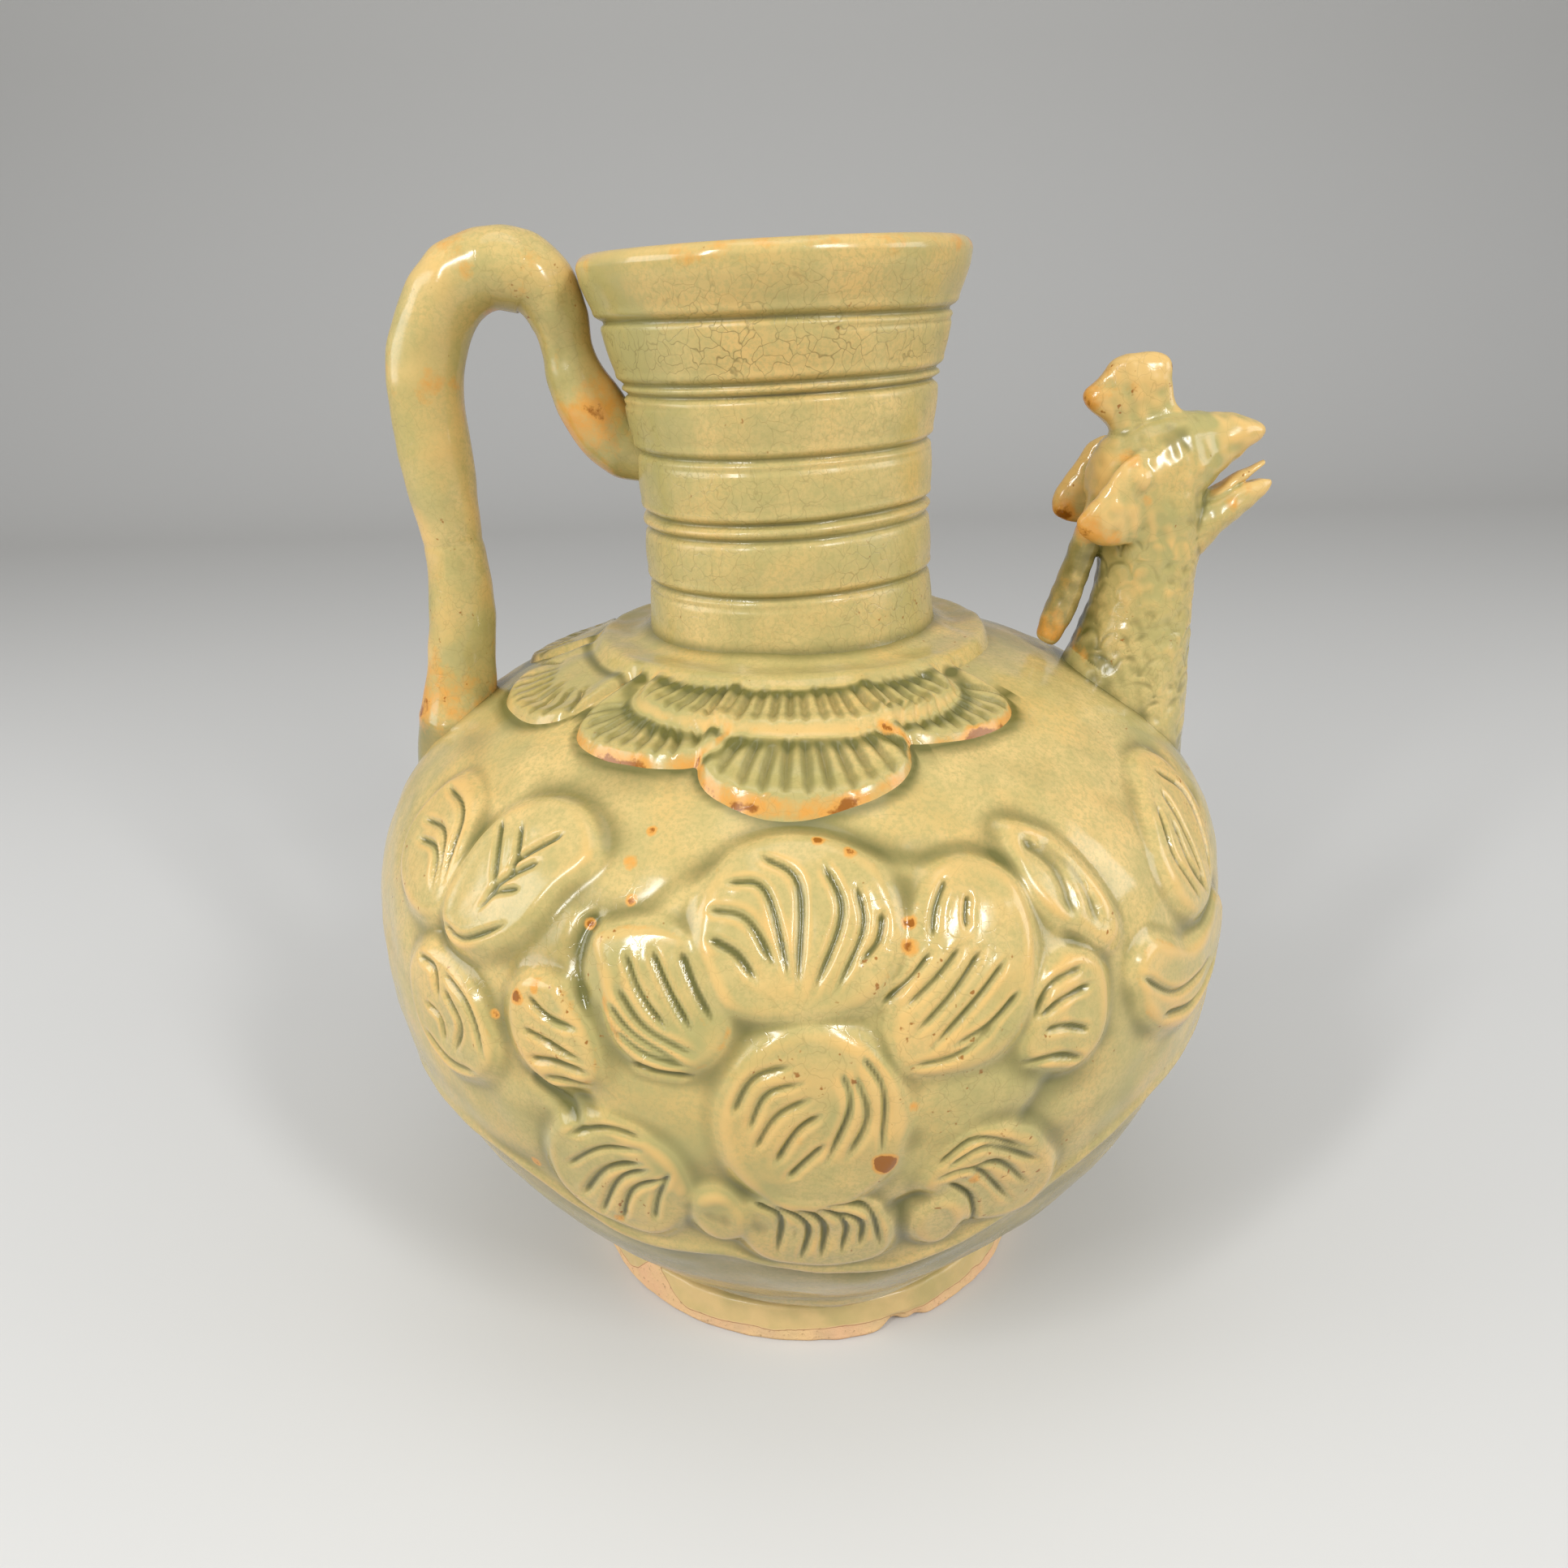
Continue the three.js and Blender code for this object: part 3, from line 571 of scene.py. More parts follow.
class Carving:
    """A height field in millimetres over the body's face, shaped one feature at a time."""

    FINE = 0.5
    COARSE = 1.4
    CARVED = (42.0, 131.0)

    def __init__(self):
        self.outline = wall_outline(BODY_BOTTOM, 0)
        self.arc = along_outline(self.outline)
        low, high = np.interp(self.CARVED, self.outline[:, 1], self.arc)
        stretches = ((0, low, self.COARSE), (low, high, self.FINE), (high, self.arc[-1], self.COARSE))
        rows = [np.linspace(a, b, int((b - a) / step), endpoint=False) for a, b, step in stretches]
        self.rows = np.concatenate([*rows, self.arc[-1:]])
        self.radius = np.interp(self.rows, self.arc, self.outline[:, 0])
        self.level = np.interp(self.rows, self.arc, self.outline[:, 1])
        self.columns = body_columns()
        self.height = np.zeros((len(self.rows), len(self.columns)))
        # Colour shift over the body: glaze pooling and thinning, and painted shade under the ledge and in
        # the kick above the foot
        self.tint = np.zeros_like(self.height)
        self.burn = np.zeros_like(self.height)

    def arc_at(self, heights):
        return np.interp(heights, self.outline[:, 1], self.arc)

    def window(self, points, margin):
        """The part of the grid around some points [azimuth, height], flattened to millimetres."""
        points = np.asarray(points, float)
        middle = points[:, 0].mean()
        up = self.arc_at(points[:, 1])
        across = np.radians(points[:, 0] - middle) * np.interp(up, self.rows, self.radius)
        rows = np.nonzero((self.rows > up.min() - margin) & (self.rows < up.max() + margin))[0]
        turn = np.radians((self.columns - middle + 180) % 360 - 180)
        widest = self.radius[rows].max()
        columns = np.nonzero(np.abs(turn) * widest < np.abs(across).max() + margin * 1.4)[0]
        x = self.radius[rows][:, None] * turn[columns][None, :]
        y = np.broadcast_to(self.rows[rows][:, None], x.shape)
        return np.ix_(rows, columns), x, y, np.column_stack([across, up])

    def groove(self, points, width, depth):
        """A cut that starts fine, deepens and runs out again."""
        place, x, y, path = self.window(points, 3 * width + 1)
        away, share = distance_to(smooth_path(path, 6), x, y)
        taper = smoothstep(*STROKE_START, share) * smoothstep(*STROKE_END, share)
        wide = width * (STROKE_TIP + (1 - STROKE_TIP) * taper)
        self.height[place] -= depth * taper * bell(away, wide)
        self.height[place] += STROKE_BURR * depth * taper * bell(away - 2.0 * wide, wide)
        self.tint[place] -= STROKE_POOL * taper * bell(away, 0.8 * wide)

    def spot(self, azimuth, height, size, amount):
        """A round fired spot."""
        place, x, y, middle = self.window([(azimuth, height)], 3 * size)
        away = np.hypot(x - middle[0, 0], y - middle[0, 1])
        self.burn[place] += amount * np.exp(-(away / size) ** 4)

    def petal(self, outline, rise, rim, burn):
        """A soft petal over what was there, fullest near its edge, with a shallow hollow round it."""
        place, x, y, corners = self.window(outline, 3 * MOAT_WIDTH)
        edge = smooth_path(corners, 8, closed=True)
        away, _ = distance_to(np.vstack([edge, edge[:1]]), x, y)
        inside = np.where(within(edge, x, y), away, -away)
        field = self.height[place]
        crown = rise * smoothstep(*PETAL_SLOPE, inside) + rim * bell(inside - RIM_INSET, RIM_WIDTH)
        crown -= PETAL_DISH * rise * smoothstep(*DISH_SLOPE, inside)
        over = smoothstep(*PETAL_EDGE, inside)
        hollow = -MOAT * bell(np.minimum(inside, 0) + MOAT_OUTSET, MOAT_WIDTH) * (1 - over)
        self.height[place] = field * (1 - PETAL_COVER * over) + crown * over + hollow
        self.tint[place] += 0.14 * bell(inside - 1.6, 1.3)
        self.tint[place] -= 0.17 * bell(inside + 1.6, 2.0)
        self.burn[place] = self.burn[place] * (1 - over) + burn * bell(inside - 0.9, 0.9)


def distance_to(path, x, y):
    """Distance from each place to a path, and the share of the way along it at the nearest point."""
    nearest = np.full(x.shape, np.inf)
    share = np.zeros(x.shape)
    count = len(path) - 1
    for i, (start, end) in enumerate(zip(path, path[1:])):
        step = end - start
        t = np.clip(((x - start[0]) * step[0] + (y - start[1]) * step[1]) / max(step @ step, 1e-9), 0, 1)
        away = np.hypot(x - start[0] - t * step[0], y - start[1] - t * step[1])
        closer = away < nearest
        nearest[closer] = away[closer]
        share[closer] = (i + t[closer]) / count
    return nearest, share


def within(edge, x, y):
    """Whether each place lies inside a closed outline."""
    inside = np.zeros(x.shape, bool)
    for a, b in zip(edge, np.roll(edge, -1, 0)):
        if a[1] == b[1]:
            continue
        crosses = (a[1] > y) != (b[1] > y)
        inside ^= crosses & (x < a[0] + (b[0] - a[0]) * (y - a[1]) / (b[1] - a[1]))
    return inside


def oval(azimuth, height, half_turn, half_height, tilt=0.0, count=12):
    """An oval outline about a place on the body."""
    turns = np.linspace(0, 2 * pi, count, endpoint=False)
    tilted = turns + radians(tilt)
    return list(zip(azimuth + half_turn * np.cos(tilted), height + half_height * np.sin(tilted)))


# The carved flower, as points [azimuth, height] on the body
CURL_LEAF = {
    "outline": [
        (27, 126.5), (32, 124.5), (36, 118), (38, 109), (35.5, 106), (31.5, 110), (28, 114),
        (26, 120),
    ],
    "strokes": [[(28.5, 124.5), (31.5, 119), (31.5, 112)], [(31, 124), (34, 118), (34.5, 110)]],
    "width": 1.5,
}
SMALL_LEAF = {
    "outline": [
        (22.5, 93), (23.5, 100), (26, 106.5), (31.5, 107.5), (34.5, 102), (33.5, 91), (28, 87.5),
    ],
    "strokes": [
        [(31, 105.2), (26.4, 104), (24, 99.6)], [(31.8, 101.8), (27.4, 101), (24.4, 99.4)],
        [(31.2, 94.2), (27.6, 96.6), (25, 97)], [(30.4, 89.2), (26.8, 91.6), (22.8, 92.2)],
    ],
}
LEFT_PETAL = {
    "burn": 0.5,
    "hollows": [[(-24.6, 117.5), (-25.6, 110), (-23.8, 102.5)]],
    "outline": [
        (-24, 114), (-20, 116.5), (-14, 116.5), (-9, 113), (-7.4, 104), (-9.5, 97), (-14, 94),
        (-18.5, 96), (-21, 101), (-22.5, 108),
    ],
    "strokes": [
        [(-19.5, 112.6), (-17.4, 107), (-14.4, 102)], [(-20.3, 107.8), (-16.7, 101.8), (-11.6, 98.4)],
        [(-16.6, 113.4), (-14.4, 108), (-11.8, 102)], [(-13.4, 113.6), (-11.8, 109), (-9.8, 104)],
        [(-20.1, 100.8), (-17, 97.8), (-12, 96)], [(-21, 105), (-18, 100.6), (-13, 97)],
        [(-18.4, 95.4), (-15.4, 94.6), (-12, 94.4)],
    ],
}
RIGHT_PETAL = {
    "burn": 0.3,
    "outline": [
        (10, 112), (11.5, 118), (15.5, 123), (20.5, 124), (25.2, 120.5), (26, 114), (24.8, 105.5),
        (22.5, 98), (18, 93.5), (11, 93.5), (8, 98.5),
    ],
    "strokes": [
        [(16.6, 121.4), (14.6, 118), (13.6, 114)], [(13.4, 112.6), (10.2, 108.6), (7.8, 106)],
        [(16.6, 112.6), (13.4, 108.8), (9.6, 104.8)], [(19, 111.8), (14.9, 106.2), (10.4, 100.8)],
        [(21.4, 109.6), (17.1, 104.3), (12.2, 98.3)], [(19.4, 100.4), (14.7, 96.6), (9.8, 95.6)],
        [(18.7, 119), (17.9, 116.6), (17.6, 114.6)], [(22.4, 104.6), (18.6, 100.6), (14.4, 98)],
    ],
}
TOP_PETAL = {
    "burn": 0.36,
    "outline": [
        (-11.4, 112), (-12.3, 119), (-9.8, 125.5), (-5, 128), (0, 128.3), (5.3, 127), (9.5, 123.5),
        (11, 116.5), (9.3, 110.5), (5.5, 105.5), (-1, 103.5), (-8, 105),
    ],
    "strokes": [
        [(-10.9, 119), (-6.4, 118), (-3.3, 112)], [(-9, 122.4), (-4.4, 121.4), (-1.7, 109.8)],
        [(-5.2, 125.6), (-0.6, 122), (-1, 108.4)], [(2.4, 124.4), (4, 118.4), (0.4, 108)],
        [(6, 121.8), (6.2, 116.4), (2.8, 108.2)], [(8.6, 118.4), (7.7, 114.8), (5.6, 112)],
        [(-10.4, 115.4), (-7.4, 113.6), (-5.2, 110)],
    ],
}
HEART = {
    "outline": oval(0.1, 85.5, 9.9, 18.2, tilt=-4),
    "strokes": [
        [(-7.9, 88.6), (-5.7, 95), (-1.7, 97.6)], [(-6.3, 85.8), (-4.4, 92.4), (-0.7, 94.6)],
        [(-5.8, 82), (-3.5, 88.4), (0, 91.8)], [(-3.8, 79.2), (-1.5, 85.6), (1, 88.8)],
        [(5.2, 98.6), (7.3, 92), (7, 81)], [(4.4, 95.6), (5.6, 88), (3.5, 80)],
        [(3.2, 96), (3.9, 90), (1.4, 79)], [(-2.6, 76), (-0.6, 79.6), (1.4, 83)],
    ],
}
LOWER_LEFT = {
    "outline": [
        (-31, 72), (-28.8, 79.5), (-22.8, 84.5), (-17, 82), (-13.4, 75), (-14, 64), (-18.5, 57),
        (-25, 58), (-30, 63),
    ],
    "strokes": [
        [(-27, 78.6), (-22, 82), (-17.6, 81.4)], [(-28.2, 70.8), (-23.4, 77), (-18, 79)],
        [(-27.2, 64), (-23, 72.4), (-18.2, 76)], [(-25.2, 60.6), (-21.7, 70.4), (-17.6, 75)],
        [(-22.6, 60), (-20.2, 68.6), (-15.4, 73.8)], [(-18.3, 62), (-17.1, 68.4), (-15.2, 75)],
    ],
}
BOTTOM = {
    "outline": [
        (-7.6, 69), (-2.5, 71), (2.6, 70), (6.3, 68), (9.4, 61), (9.2, 53), (4.6, 50),
        (-1.7, 50.6), (-6.8, 53.5), (-8.6, 61),
    ],
    "strokes": [
        [(-6.3, 69.2), (-3.6, 65.8), (-4.3, 55.6)], [(-4, 69.4), (-0.6, 63), (-1.6, 53.6)],
        [(-1.4, 68.4), (1.2, 63), (0.8, 54)], [(0.6, 68.8), (3.6, 63.4), (3.2, 55)],
        [(1.4, 69.4), (6, 66.8), (8, 56)], [(2.6, 66.8), (5.4, 63.4), (5.4, 57)],
    ],
}
LOWER_RIGHT = {
    "outline": [
        (11.8, 71), (14.8, 78.5), (20, 81.5), (26, 75.5), (30, 64), (27, 56.5), (19.5, 57),
        (15, 64),
    ],
    "strokes": [
        [(13.2, 75), (17.6, 79.6), (24.2, 74)], [(14.4, 75), (19, 77.2), (26.6, 69.4)],
        [(13.4, 72.4), (18, 72.2), (23.8, 60.8)], [(15.6, 72.6), (20.6, 72.6), (25.4, 64.6)],
        [(14.9, 70.4), (18.2, 64.8), (19.8, 56)],
    ],
}
FLOWER_BASE = {
    "rise": 0.7, "rim": 0.0, "burn": 0.0,
    "outline": [
        (-25.5, 112), (-18, 118), (-12, 123), (0, 126.5), (12, 124), (25, 120.5), (30, 112),
        (29, 100), (25, 86), (17, 72), (0, 63), (-15, 70), (-23, 84), (-26.5, 98),
    ],
    "strokes": [],
}
LEFT_LOBE = {"outline": oval(-10.4, 64.8, 3.4, 7), "strokes": []}
RIGHT_LOBE = {"outline": oval(14.7, 60, 3.4, 7), "strokes": []}
LEFT_LEAF = {
    "burn": 0.42,
    "hollows": [[(-31.5, 88.5), (-28, 84.5), (-24.5, 80)]],
    "outline": [
        (-34, 100), (-32, 106), (-27.5, 106.5), (-24, 102), (-22, 96), (-22.5, 90.5), (-28, 87.5),
        (-32.5, 92),
    ],
    "strokes": [
        [(-31, 103), (-28, 100.4), (-24.4, 99.6)], [(-31.4, 97.4), (-28, 96.2), (-23.8, 94.2)],
        [(-30.8, 92.2), (-27.3, 93), (-23.2, 92.4)], [(-29, 89.4), (-26.4, 89.8), (-23.6, 89.6)],
    ],
}
LEFT_FLOWER = {
    "outline": [
        (-47, 119), (-44, 126.5), (-37, 129.5), (-30, 128.5), (-26.3, 124), (-29.5, 119),
        (-33, 112), (-38, 107), (-44, 105.5), (-47.5, 110),
    ],
    "strokes": [
        [(-43.5, 125), (-41.2, 121.4), (-39.2, 116.4)],
        [(-39.5, 125.4), (-37.6, 121.4), (-37.6, 118.6)],
        [(-33.6, 121.6), (-37.6, 118.6), (-40.2, 114.8)],
        [(-35, 117.6), (-38.6, 116), (-40.6, 112.8)],
        [(-46.3, 108.4), (-41.8, 107.8), (-35.6, 112.4)],
        [(-32, 125.6), (-35.6, 122.6), (-38.2, 120)],
    ],
}
FAR_LEFT_LEAF = {
    "outline": [
        (-64, 119), (-60, 127), (-52, 126), (-47.8, 119), (-47.5, 110), (-51.5, 106.5), (-58, 108),
        (-62.5, 112),
    ],
    "strokes": [
        [(-59.6, 125), (-52, 123.4), (-48.8, 113.8)], [(-60, 119.6), (-53.4, 120), (-49.6, 113.4)],
        [(-58.6, 117), (-53.2, 117.4), (-50.4, 112.6)],
    ],
}
LEFT_SCROLL = {
    "burn": 0.35,
    "outline": [
        (-53, 98), (-49, 104), (-43, 103), (-38, 98), (-36, 89), (-39.5, 82.5), (-46, 80.5),
        (-52, 86),
    ],
    "strokes": [
        [(-50, 101), (-46.6, 100.4), (-45.6, 95.6)], [(-44.6, 100.8), (-39.8, 97), (-37.6, 88.6)],
        [(-44.6, 98), (-41.4, 93), (-43, 86.6)], [(-48.4, 93), (-45.6, 91.4), (-45, 87.4)],
        [(-49.6, 86.4), (-44.4, 83.4), (-39.6, 84.2)],
    ],
}
RIGHT_LEAF = {
    "outline": [
        (60, 127), (66.5, 124), (67.5, 114), (64.5, 103.5), (58.5, 99.8), (53, 101.5),
        (49.5, 107.5), (49.2, 115), (53.5, 123),
    ],
    "strokes": [
        [(60.5, 124), (64.4, 117.6), (61.4, 104.8)], [(58.4, 121.6), (58.2, 113.6), (58, 104.4)],
        [(55.2, 120.6), (52.4, 113), (55.4, 104)], [(56.2, 117.4), (55.4, 110.4), (58.8, 103)],
    ],
}
RIGHT_SCROLL = {
    "burn": 0.4,
    "outline": [
        (39, 99), (43, 104), (50, 98.5), (57, 98), (64, 100), (68, 93), (60, 84), (50, 82),
        (42, 88),
    ],
    "strokes": [[(39.6, 99), (47, 91.4), (57, 91)], [(44, 88.6), (52, 86), (61, 89)]],
}
BACK_TO_FRONT = (
    FLOWER_BASE, FAR_LEFT_LEAF, LEFT_SCROLL, LEFT_FLOWER, LEFT_LEAF, RIGHT_LEAF, RIGHT_SCROLL,
    CURL_LEAF, SMALL_LEAF, LEFT_PETAL, RIGHT_PETAL, TOP_PETAL, LOWER_LEFT, LOWER_RIGHT, BOTTOM,
    LEFT_LOBE, RIGHT_LOBE, HEART,
)

# Fired spots, as azimuth, height, size and strength
SPOTS = (
    (7.6, 78.3, 2.3, 1.35), (6.6, 79.8, 1.2, 0.5), (-25.3, 115.4, 1.3, 1.1), (-32.1, 102.2, 1.5, 1.1),
    (-30.0, 104.5, 1.2, 0.9), (-20.6, 119.6, 1.3, 1.0), (11.2, 113.4, 1.8, 0.9), (-34.5, 66.0, 1.4, 0.9),
    (-20.5, 128.0, 1.2, 0.9), (-22.0, 124.0, 1.6, 0.8), (5.5, 125.5, 1.3, 0.8), (1.8, 127.0, 1.1, 0.8),
    (-10.5, 104.0, 1.6, 0.6), (10.6, 88.0, 1.3, 0.7), (11.4, 116.6, 1.3, 0.9), (-36.5, 97.0, 1.2, 0.9),
    (-1.0, 84.0, 1.2, 0.6), (-23.0, 60.5, 1.3, 0.7), (18.0, 70.0, 1.5, 0.6),
)

# The edge that the carved ground ends on, low at the front and higher at the sides
LEDGE = (
    (-90, 72), (-70, 67), (-52, 65.4), (-39, 63), (-31, 57), (-22, 51), (-12, 51.5), (-5, 48),
    (2, 45.6), (10, 44.6), (19, 49), (27, 54.7), (36.6, 62.3), (46, 67), (60, 70), (75, 74),
)
LEDGE_DROP = 1.7
LEDGE_LIP = 0.5
LEDGE_UNDERCUT = 0.5

# Facets of the plain wall under the ledge, as waves with their count, phase and height
FACETS = ((5, 1.1, 0.5), (9, 0, 0.3))
FACET_DEPTH = 0.9

# Petals. The slopes run over these distances inside the petal's edge
PETAL_RISE = 1.25
PETAL_RIM = 0.42
PETAL_BURN = 0.1
PETAL_SLOPE = (-3.6, 5.5)
PETAL_EDGE = (-2.6, 1.2)
PETAL_COVER = 0.7
PETAL_DISH = 0.25
DISH_SLOPE = (5.0, 13.0)
RIM_INSET = 1.8
RIM_WIDTH = 1.6
MOAT = 0.42
MOAT_WIDTH = 4.5
MOAT_OUTSET = 1.4

# Strokes. They start and end over these shares of the way along
STROKE_WIDTH = 0.63
STROKE_DEPTH = 0.8
STROKE_START = (-0.04, 0.14)
STROKE_END = (1.08, 0.78)
STROKE_TIP = 0.6
STROKE_BURR = 0.14
STROKE_POOL = 0.5
HOLLOW_WIDTH = 1.7
HOLLOW_DEPTH = 0.8
BACK_JITTER = 0.35

# The torn lip over the foot: its height and waves, how far it stands out, and how far the wall
# kicks in under it; it is strongest about one azimuth, and has a share of that at the sides
KICK_HEIGHT = 17.5
KICK_WAVES = ((3, 0.6, 0.8), (7, 0, 0.5))
KICK_LIP = 1.7
KICK_LIP_WIDTH = 1.7
KICK_DEPTH = 2.2
KICK_AZIMUTH = 2.0
KICK_HALF_TURN = 16.0
KICK_AT_SIDES = 0.35

# Unevenness of hand work on each part, as layers of lumps with their size, seed and height
BODY_LUMPS = ((34, 3, 0.35), (9, 4, 0.12))
FOOT_LUMPS = ((16, 21, 0.22), (4, 22, 0.1))
NECK_LUMPS = ((30, 31, 0.28), (8, 32, 0.07))
COLLAR_LUMPS = ((20, 41, 0.22), (6, 42, 0.12))
HANDLE_LUMPS = ((17, 51, 0.42), (6, 52, 0.12))
BIRD_LUMPS = ((9, 61, 0.22), (3.5, 62, 0.1))


def carve_side(carving, mirrored, seed):
    """The whole flower on one side of the pot; the other side's is its mirror, cut afresh."""
    chance = np.random.default_rng(seed)

    def placed(points):
        jitter = BACK_JITTER if mirrored else 0.0
        moved = [(a + jitter * chance.normal(), h + jitter * chance.normal()) for a, h in points]
        return [(180 - a, h) for a, h in moved] if mirrored else moved

    for form in BACK_TO_FRONT:
        rise = form.get("rise", PETAL_RISE)
        rim = form.get("rim", PETAL_RIM)
        carving.petal(placed(form["outline"]), rise, rim, form.get("burn", PETAL_BURN))
    for form in BACK_TO_FRONT:
        for hollow in form.get("hollows", []):
            carving.groove(placed(hollow), HOLLOW_WIDTH, HOLLOW_DEPTH)
        for stroke in form["strokes"]:
            width = form.get("width", STROKE_WIDTH) * chance.uniform(0.85, 1.15)
            carving.groove(placed(stroke), width, STROKE_DEPTH * chance.uniform(0.85, 1.2))
    for azimuth, height, size, amount in SPOTS:
        [(azimuth, height)] = placed([(azimuth, height)])
        carving.spot(azimuth, height, size, amount)


def carve_ledge(carving):
    """Under the flowers the wall is cut back, from a wandering edge down to the foot, and painted darker
    below that edge as shade.
    """
    ring = np.array([*LEDGE, *[(180 - azimuth, height) for azimuth, height in reversed(LEDGE[1:])]])
    path = smooth_path(np.vstack([ring - (360, 0), ring, ring + (360, 0)]), 8)
    edge = np.interp(carving.columns, path[:, 0], path[:, 1])
    below = carving.arc_at(edge)[None, :] - carving.rows[:, None]
    carving.height -= LEDGE_DROP * smoothstep(-0.5, 1.6, below)
    carving.height += LEDGE_LIP * bell(below + 1.4, 1.6)
    carving.height -= LEDGE_UNDERCUT * bell(below - 2.0, 1.1)
    # Painted shade under the ledge: the wall below the edge is darkened, most just under it
    carving.tint -= smoothstep(-0.2, 1.5, below) * (0.15 + 0.5 * bell(np.maximum(below, 0), 6.0))
    facets = ripple(np.radians(carving.columns), FACETS)
    carving.height += facets[None, :] * smoothstep(2.0, 8.0, below) * FACET_DEPTH


def carve_kick(carving):
    """The wall kicks in above the foot, under a torn lip that is strongest at the front; the kick is
    painted darker as shade.
    """
    at_front = bell(carving.columns - KICK_AZIMUTH, KICK_HALF_TURN)
    front = KICK_AT_SIDES + (1 - KICK_AT_SIDES) * at_front
    lip = KICK_HEIGHT + ripple(np.radians(carving.columns), KICK_WAVES)
    level = carving.level[:, None]
    carving.height += KICK_LIP * front * bell(level - lip, KICK_LIP_WIDTH)
    under = smoothstep(lip - 0.6, lip - 2.6, level)
    carving.height -= KICK_DEPTH * front * under
    # Painted shade in the kick under the lip
    carving.tint -= 0.5 * under


def stain_under_collar(carving):
    """Glaze pools against the collar, the handle and the bird."""
    radius = carving.radius[:, None]
    on_shoulder = carving.level[:, None] > BELLY_HEIGHT
    for middle, shape in collar_shapes():
        turn = (carving.columns - middle + 180) % 360 - 180
        beyond = radius - petal_reach(shape, turn)[None, :]
        beside = (np.abs(turn) < shape["half"] + 3)[None, :]
        pool = 0.75 * bell(beyond, 1.3) + 0.3 * np.exp(-np.maximum(beyond, 0) / 5.0)
        carving.tint -= np.where(on_shoulder & beside & (beyond > -3), pool, 0)
    roots = ((90, SPOUT_FOOT_RADIUS, SPOUT_ROOT_RADIUS), (-90, HANDLE_REACH, HANDLE_THICKNESS / 2))
    for middle, reach, size in roots:
        turn = np.radians(carving.columns - middle)[None, :]
        x = radius * np.sin(turn)
        y = radius * np.cos(turn) - reach
        away = np.hypot(x, y) - size
        carving.tint -= np.where(on_shoulder, 0.9 * np.exp(-np.maximum(away, 0) / 2.6), 0)


def collar_shapes():
    """Each petal's azimuth and shape, on both sides."""
    petals = [UPPER_PETAL, *LOWER_LOBES]
    return [(middle, petal) for petal in petals for middle in (petal["at"], 180 - petal["at"])]


def on_turn(radius, azimuth, height):
    """Points [x, y, z] at a radius, an azimuth in degrees and a height."""
    turn = np.radians(azimuth)
    radius, turn, height = np.broadcast_arrays(radius, turn, height)
    return np.stack([radius * np.sin(turn), -radius * np.cos(turn), height], -1)


def make_body():
    carving = Carving()
    carve_side(carving, mirrored=False, seed=5)
    carve_side(carving, mirrored=True, seed=6)
    carve_ledge(carving)
    carve_kick(carving)
    stain_under_collar(carving)

    slope = np.gradient(np.column_stack([carving.radius, carving.level]), carving.rows, axis=0)
    slope /= np.linalg.norm(slope, axis=1, keepdims=True)
    out_radius, out_up = slope[:, 1], -slope[:, 0]
    plain = on_turn(carving.radius[:, None], carving.columns[None, :], carving.level[:, None])
    height = carving.height + hand_made(plain, BODY_LUMPS)
    drift = 0.2 * lumps(plain, 42, 7) + 0.15 * lumps(plain * (1, 1, 2.5), 16, 8)
    end = carving.rows[-1]
    keep = smoothstep(0, 2.5, carving.rows) * smoothstep(end, end - 12, carving.rows)
    height = height * keep[:, None]
    outer = on_turn(
        carving.radius[:, None] + height * out_radius[:, None],
        carving.columns[None, :],
        carving.level[:, None] + height * out_up[:, None])

    inner_outline = evenly(wall_outline(BODY_BOTTOM + BASE_THICKNESS, BODY_WALL), 26)[::-1]
    inner = on_turn(inner_outline[:, :1], carving.columns[None, :], inner_outline[:, 1:])
    rings = np.concatenate([outer, inner])
    points, faces = capped_tube(rings)
    points[-2] = (0, 0, BODY_BOTTOM)
    points[-1] = (0, 0, BODY_BOTTOM + BASE_THICKNESS)
    relief = curvature(points, faces, reach=1.5, rounds=2)
    count = carving.height.size
    broad = np.clip(carving.height * 0.16, -0.25, 0.25)
    # The body's tint brings glaze pooling and the painted shade under the ledge and in the kick into
    # relief
    relief[:count] += (carving.tint + broad + drift).reshape(-1)
    relief[count:] = -0.2
    burn = np.zeros(len(points))
    burn[:count] = carving.burn.reshape(-1)
    relief = np.clip(relief, -1.2, 1.2)
    add_piece("body", points, faces, glaze, ["body_shell"], relief=relief, burn=burn)


# Foot
FOOT_WIDTH = 8.0
FOOT_TAPER = 0.7

# Chips out of the foot's edge: azimuth, half width in degrees and depth
CHIPS = ((21, 3.2, 1.6), (27, 2.2, 0.8), (-48, 2.5, 0.5), (205, 3, 0.7))

# The line that the glaze stops at: its height, its waves, and the places where it stops higher
GLAZE_LINE = 2.6
GLAZE_LINE_WAVES = ((2, 0.5, 0.7), (5, 2, 0.4), (11, 0, 0.25))
BARE_PATCHES = ((316, 6.5, 8.0), (150, 9, 6.0))


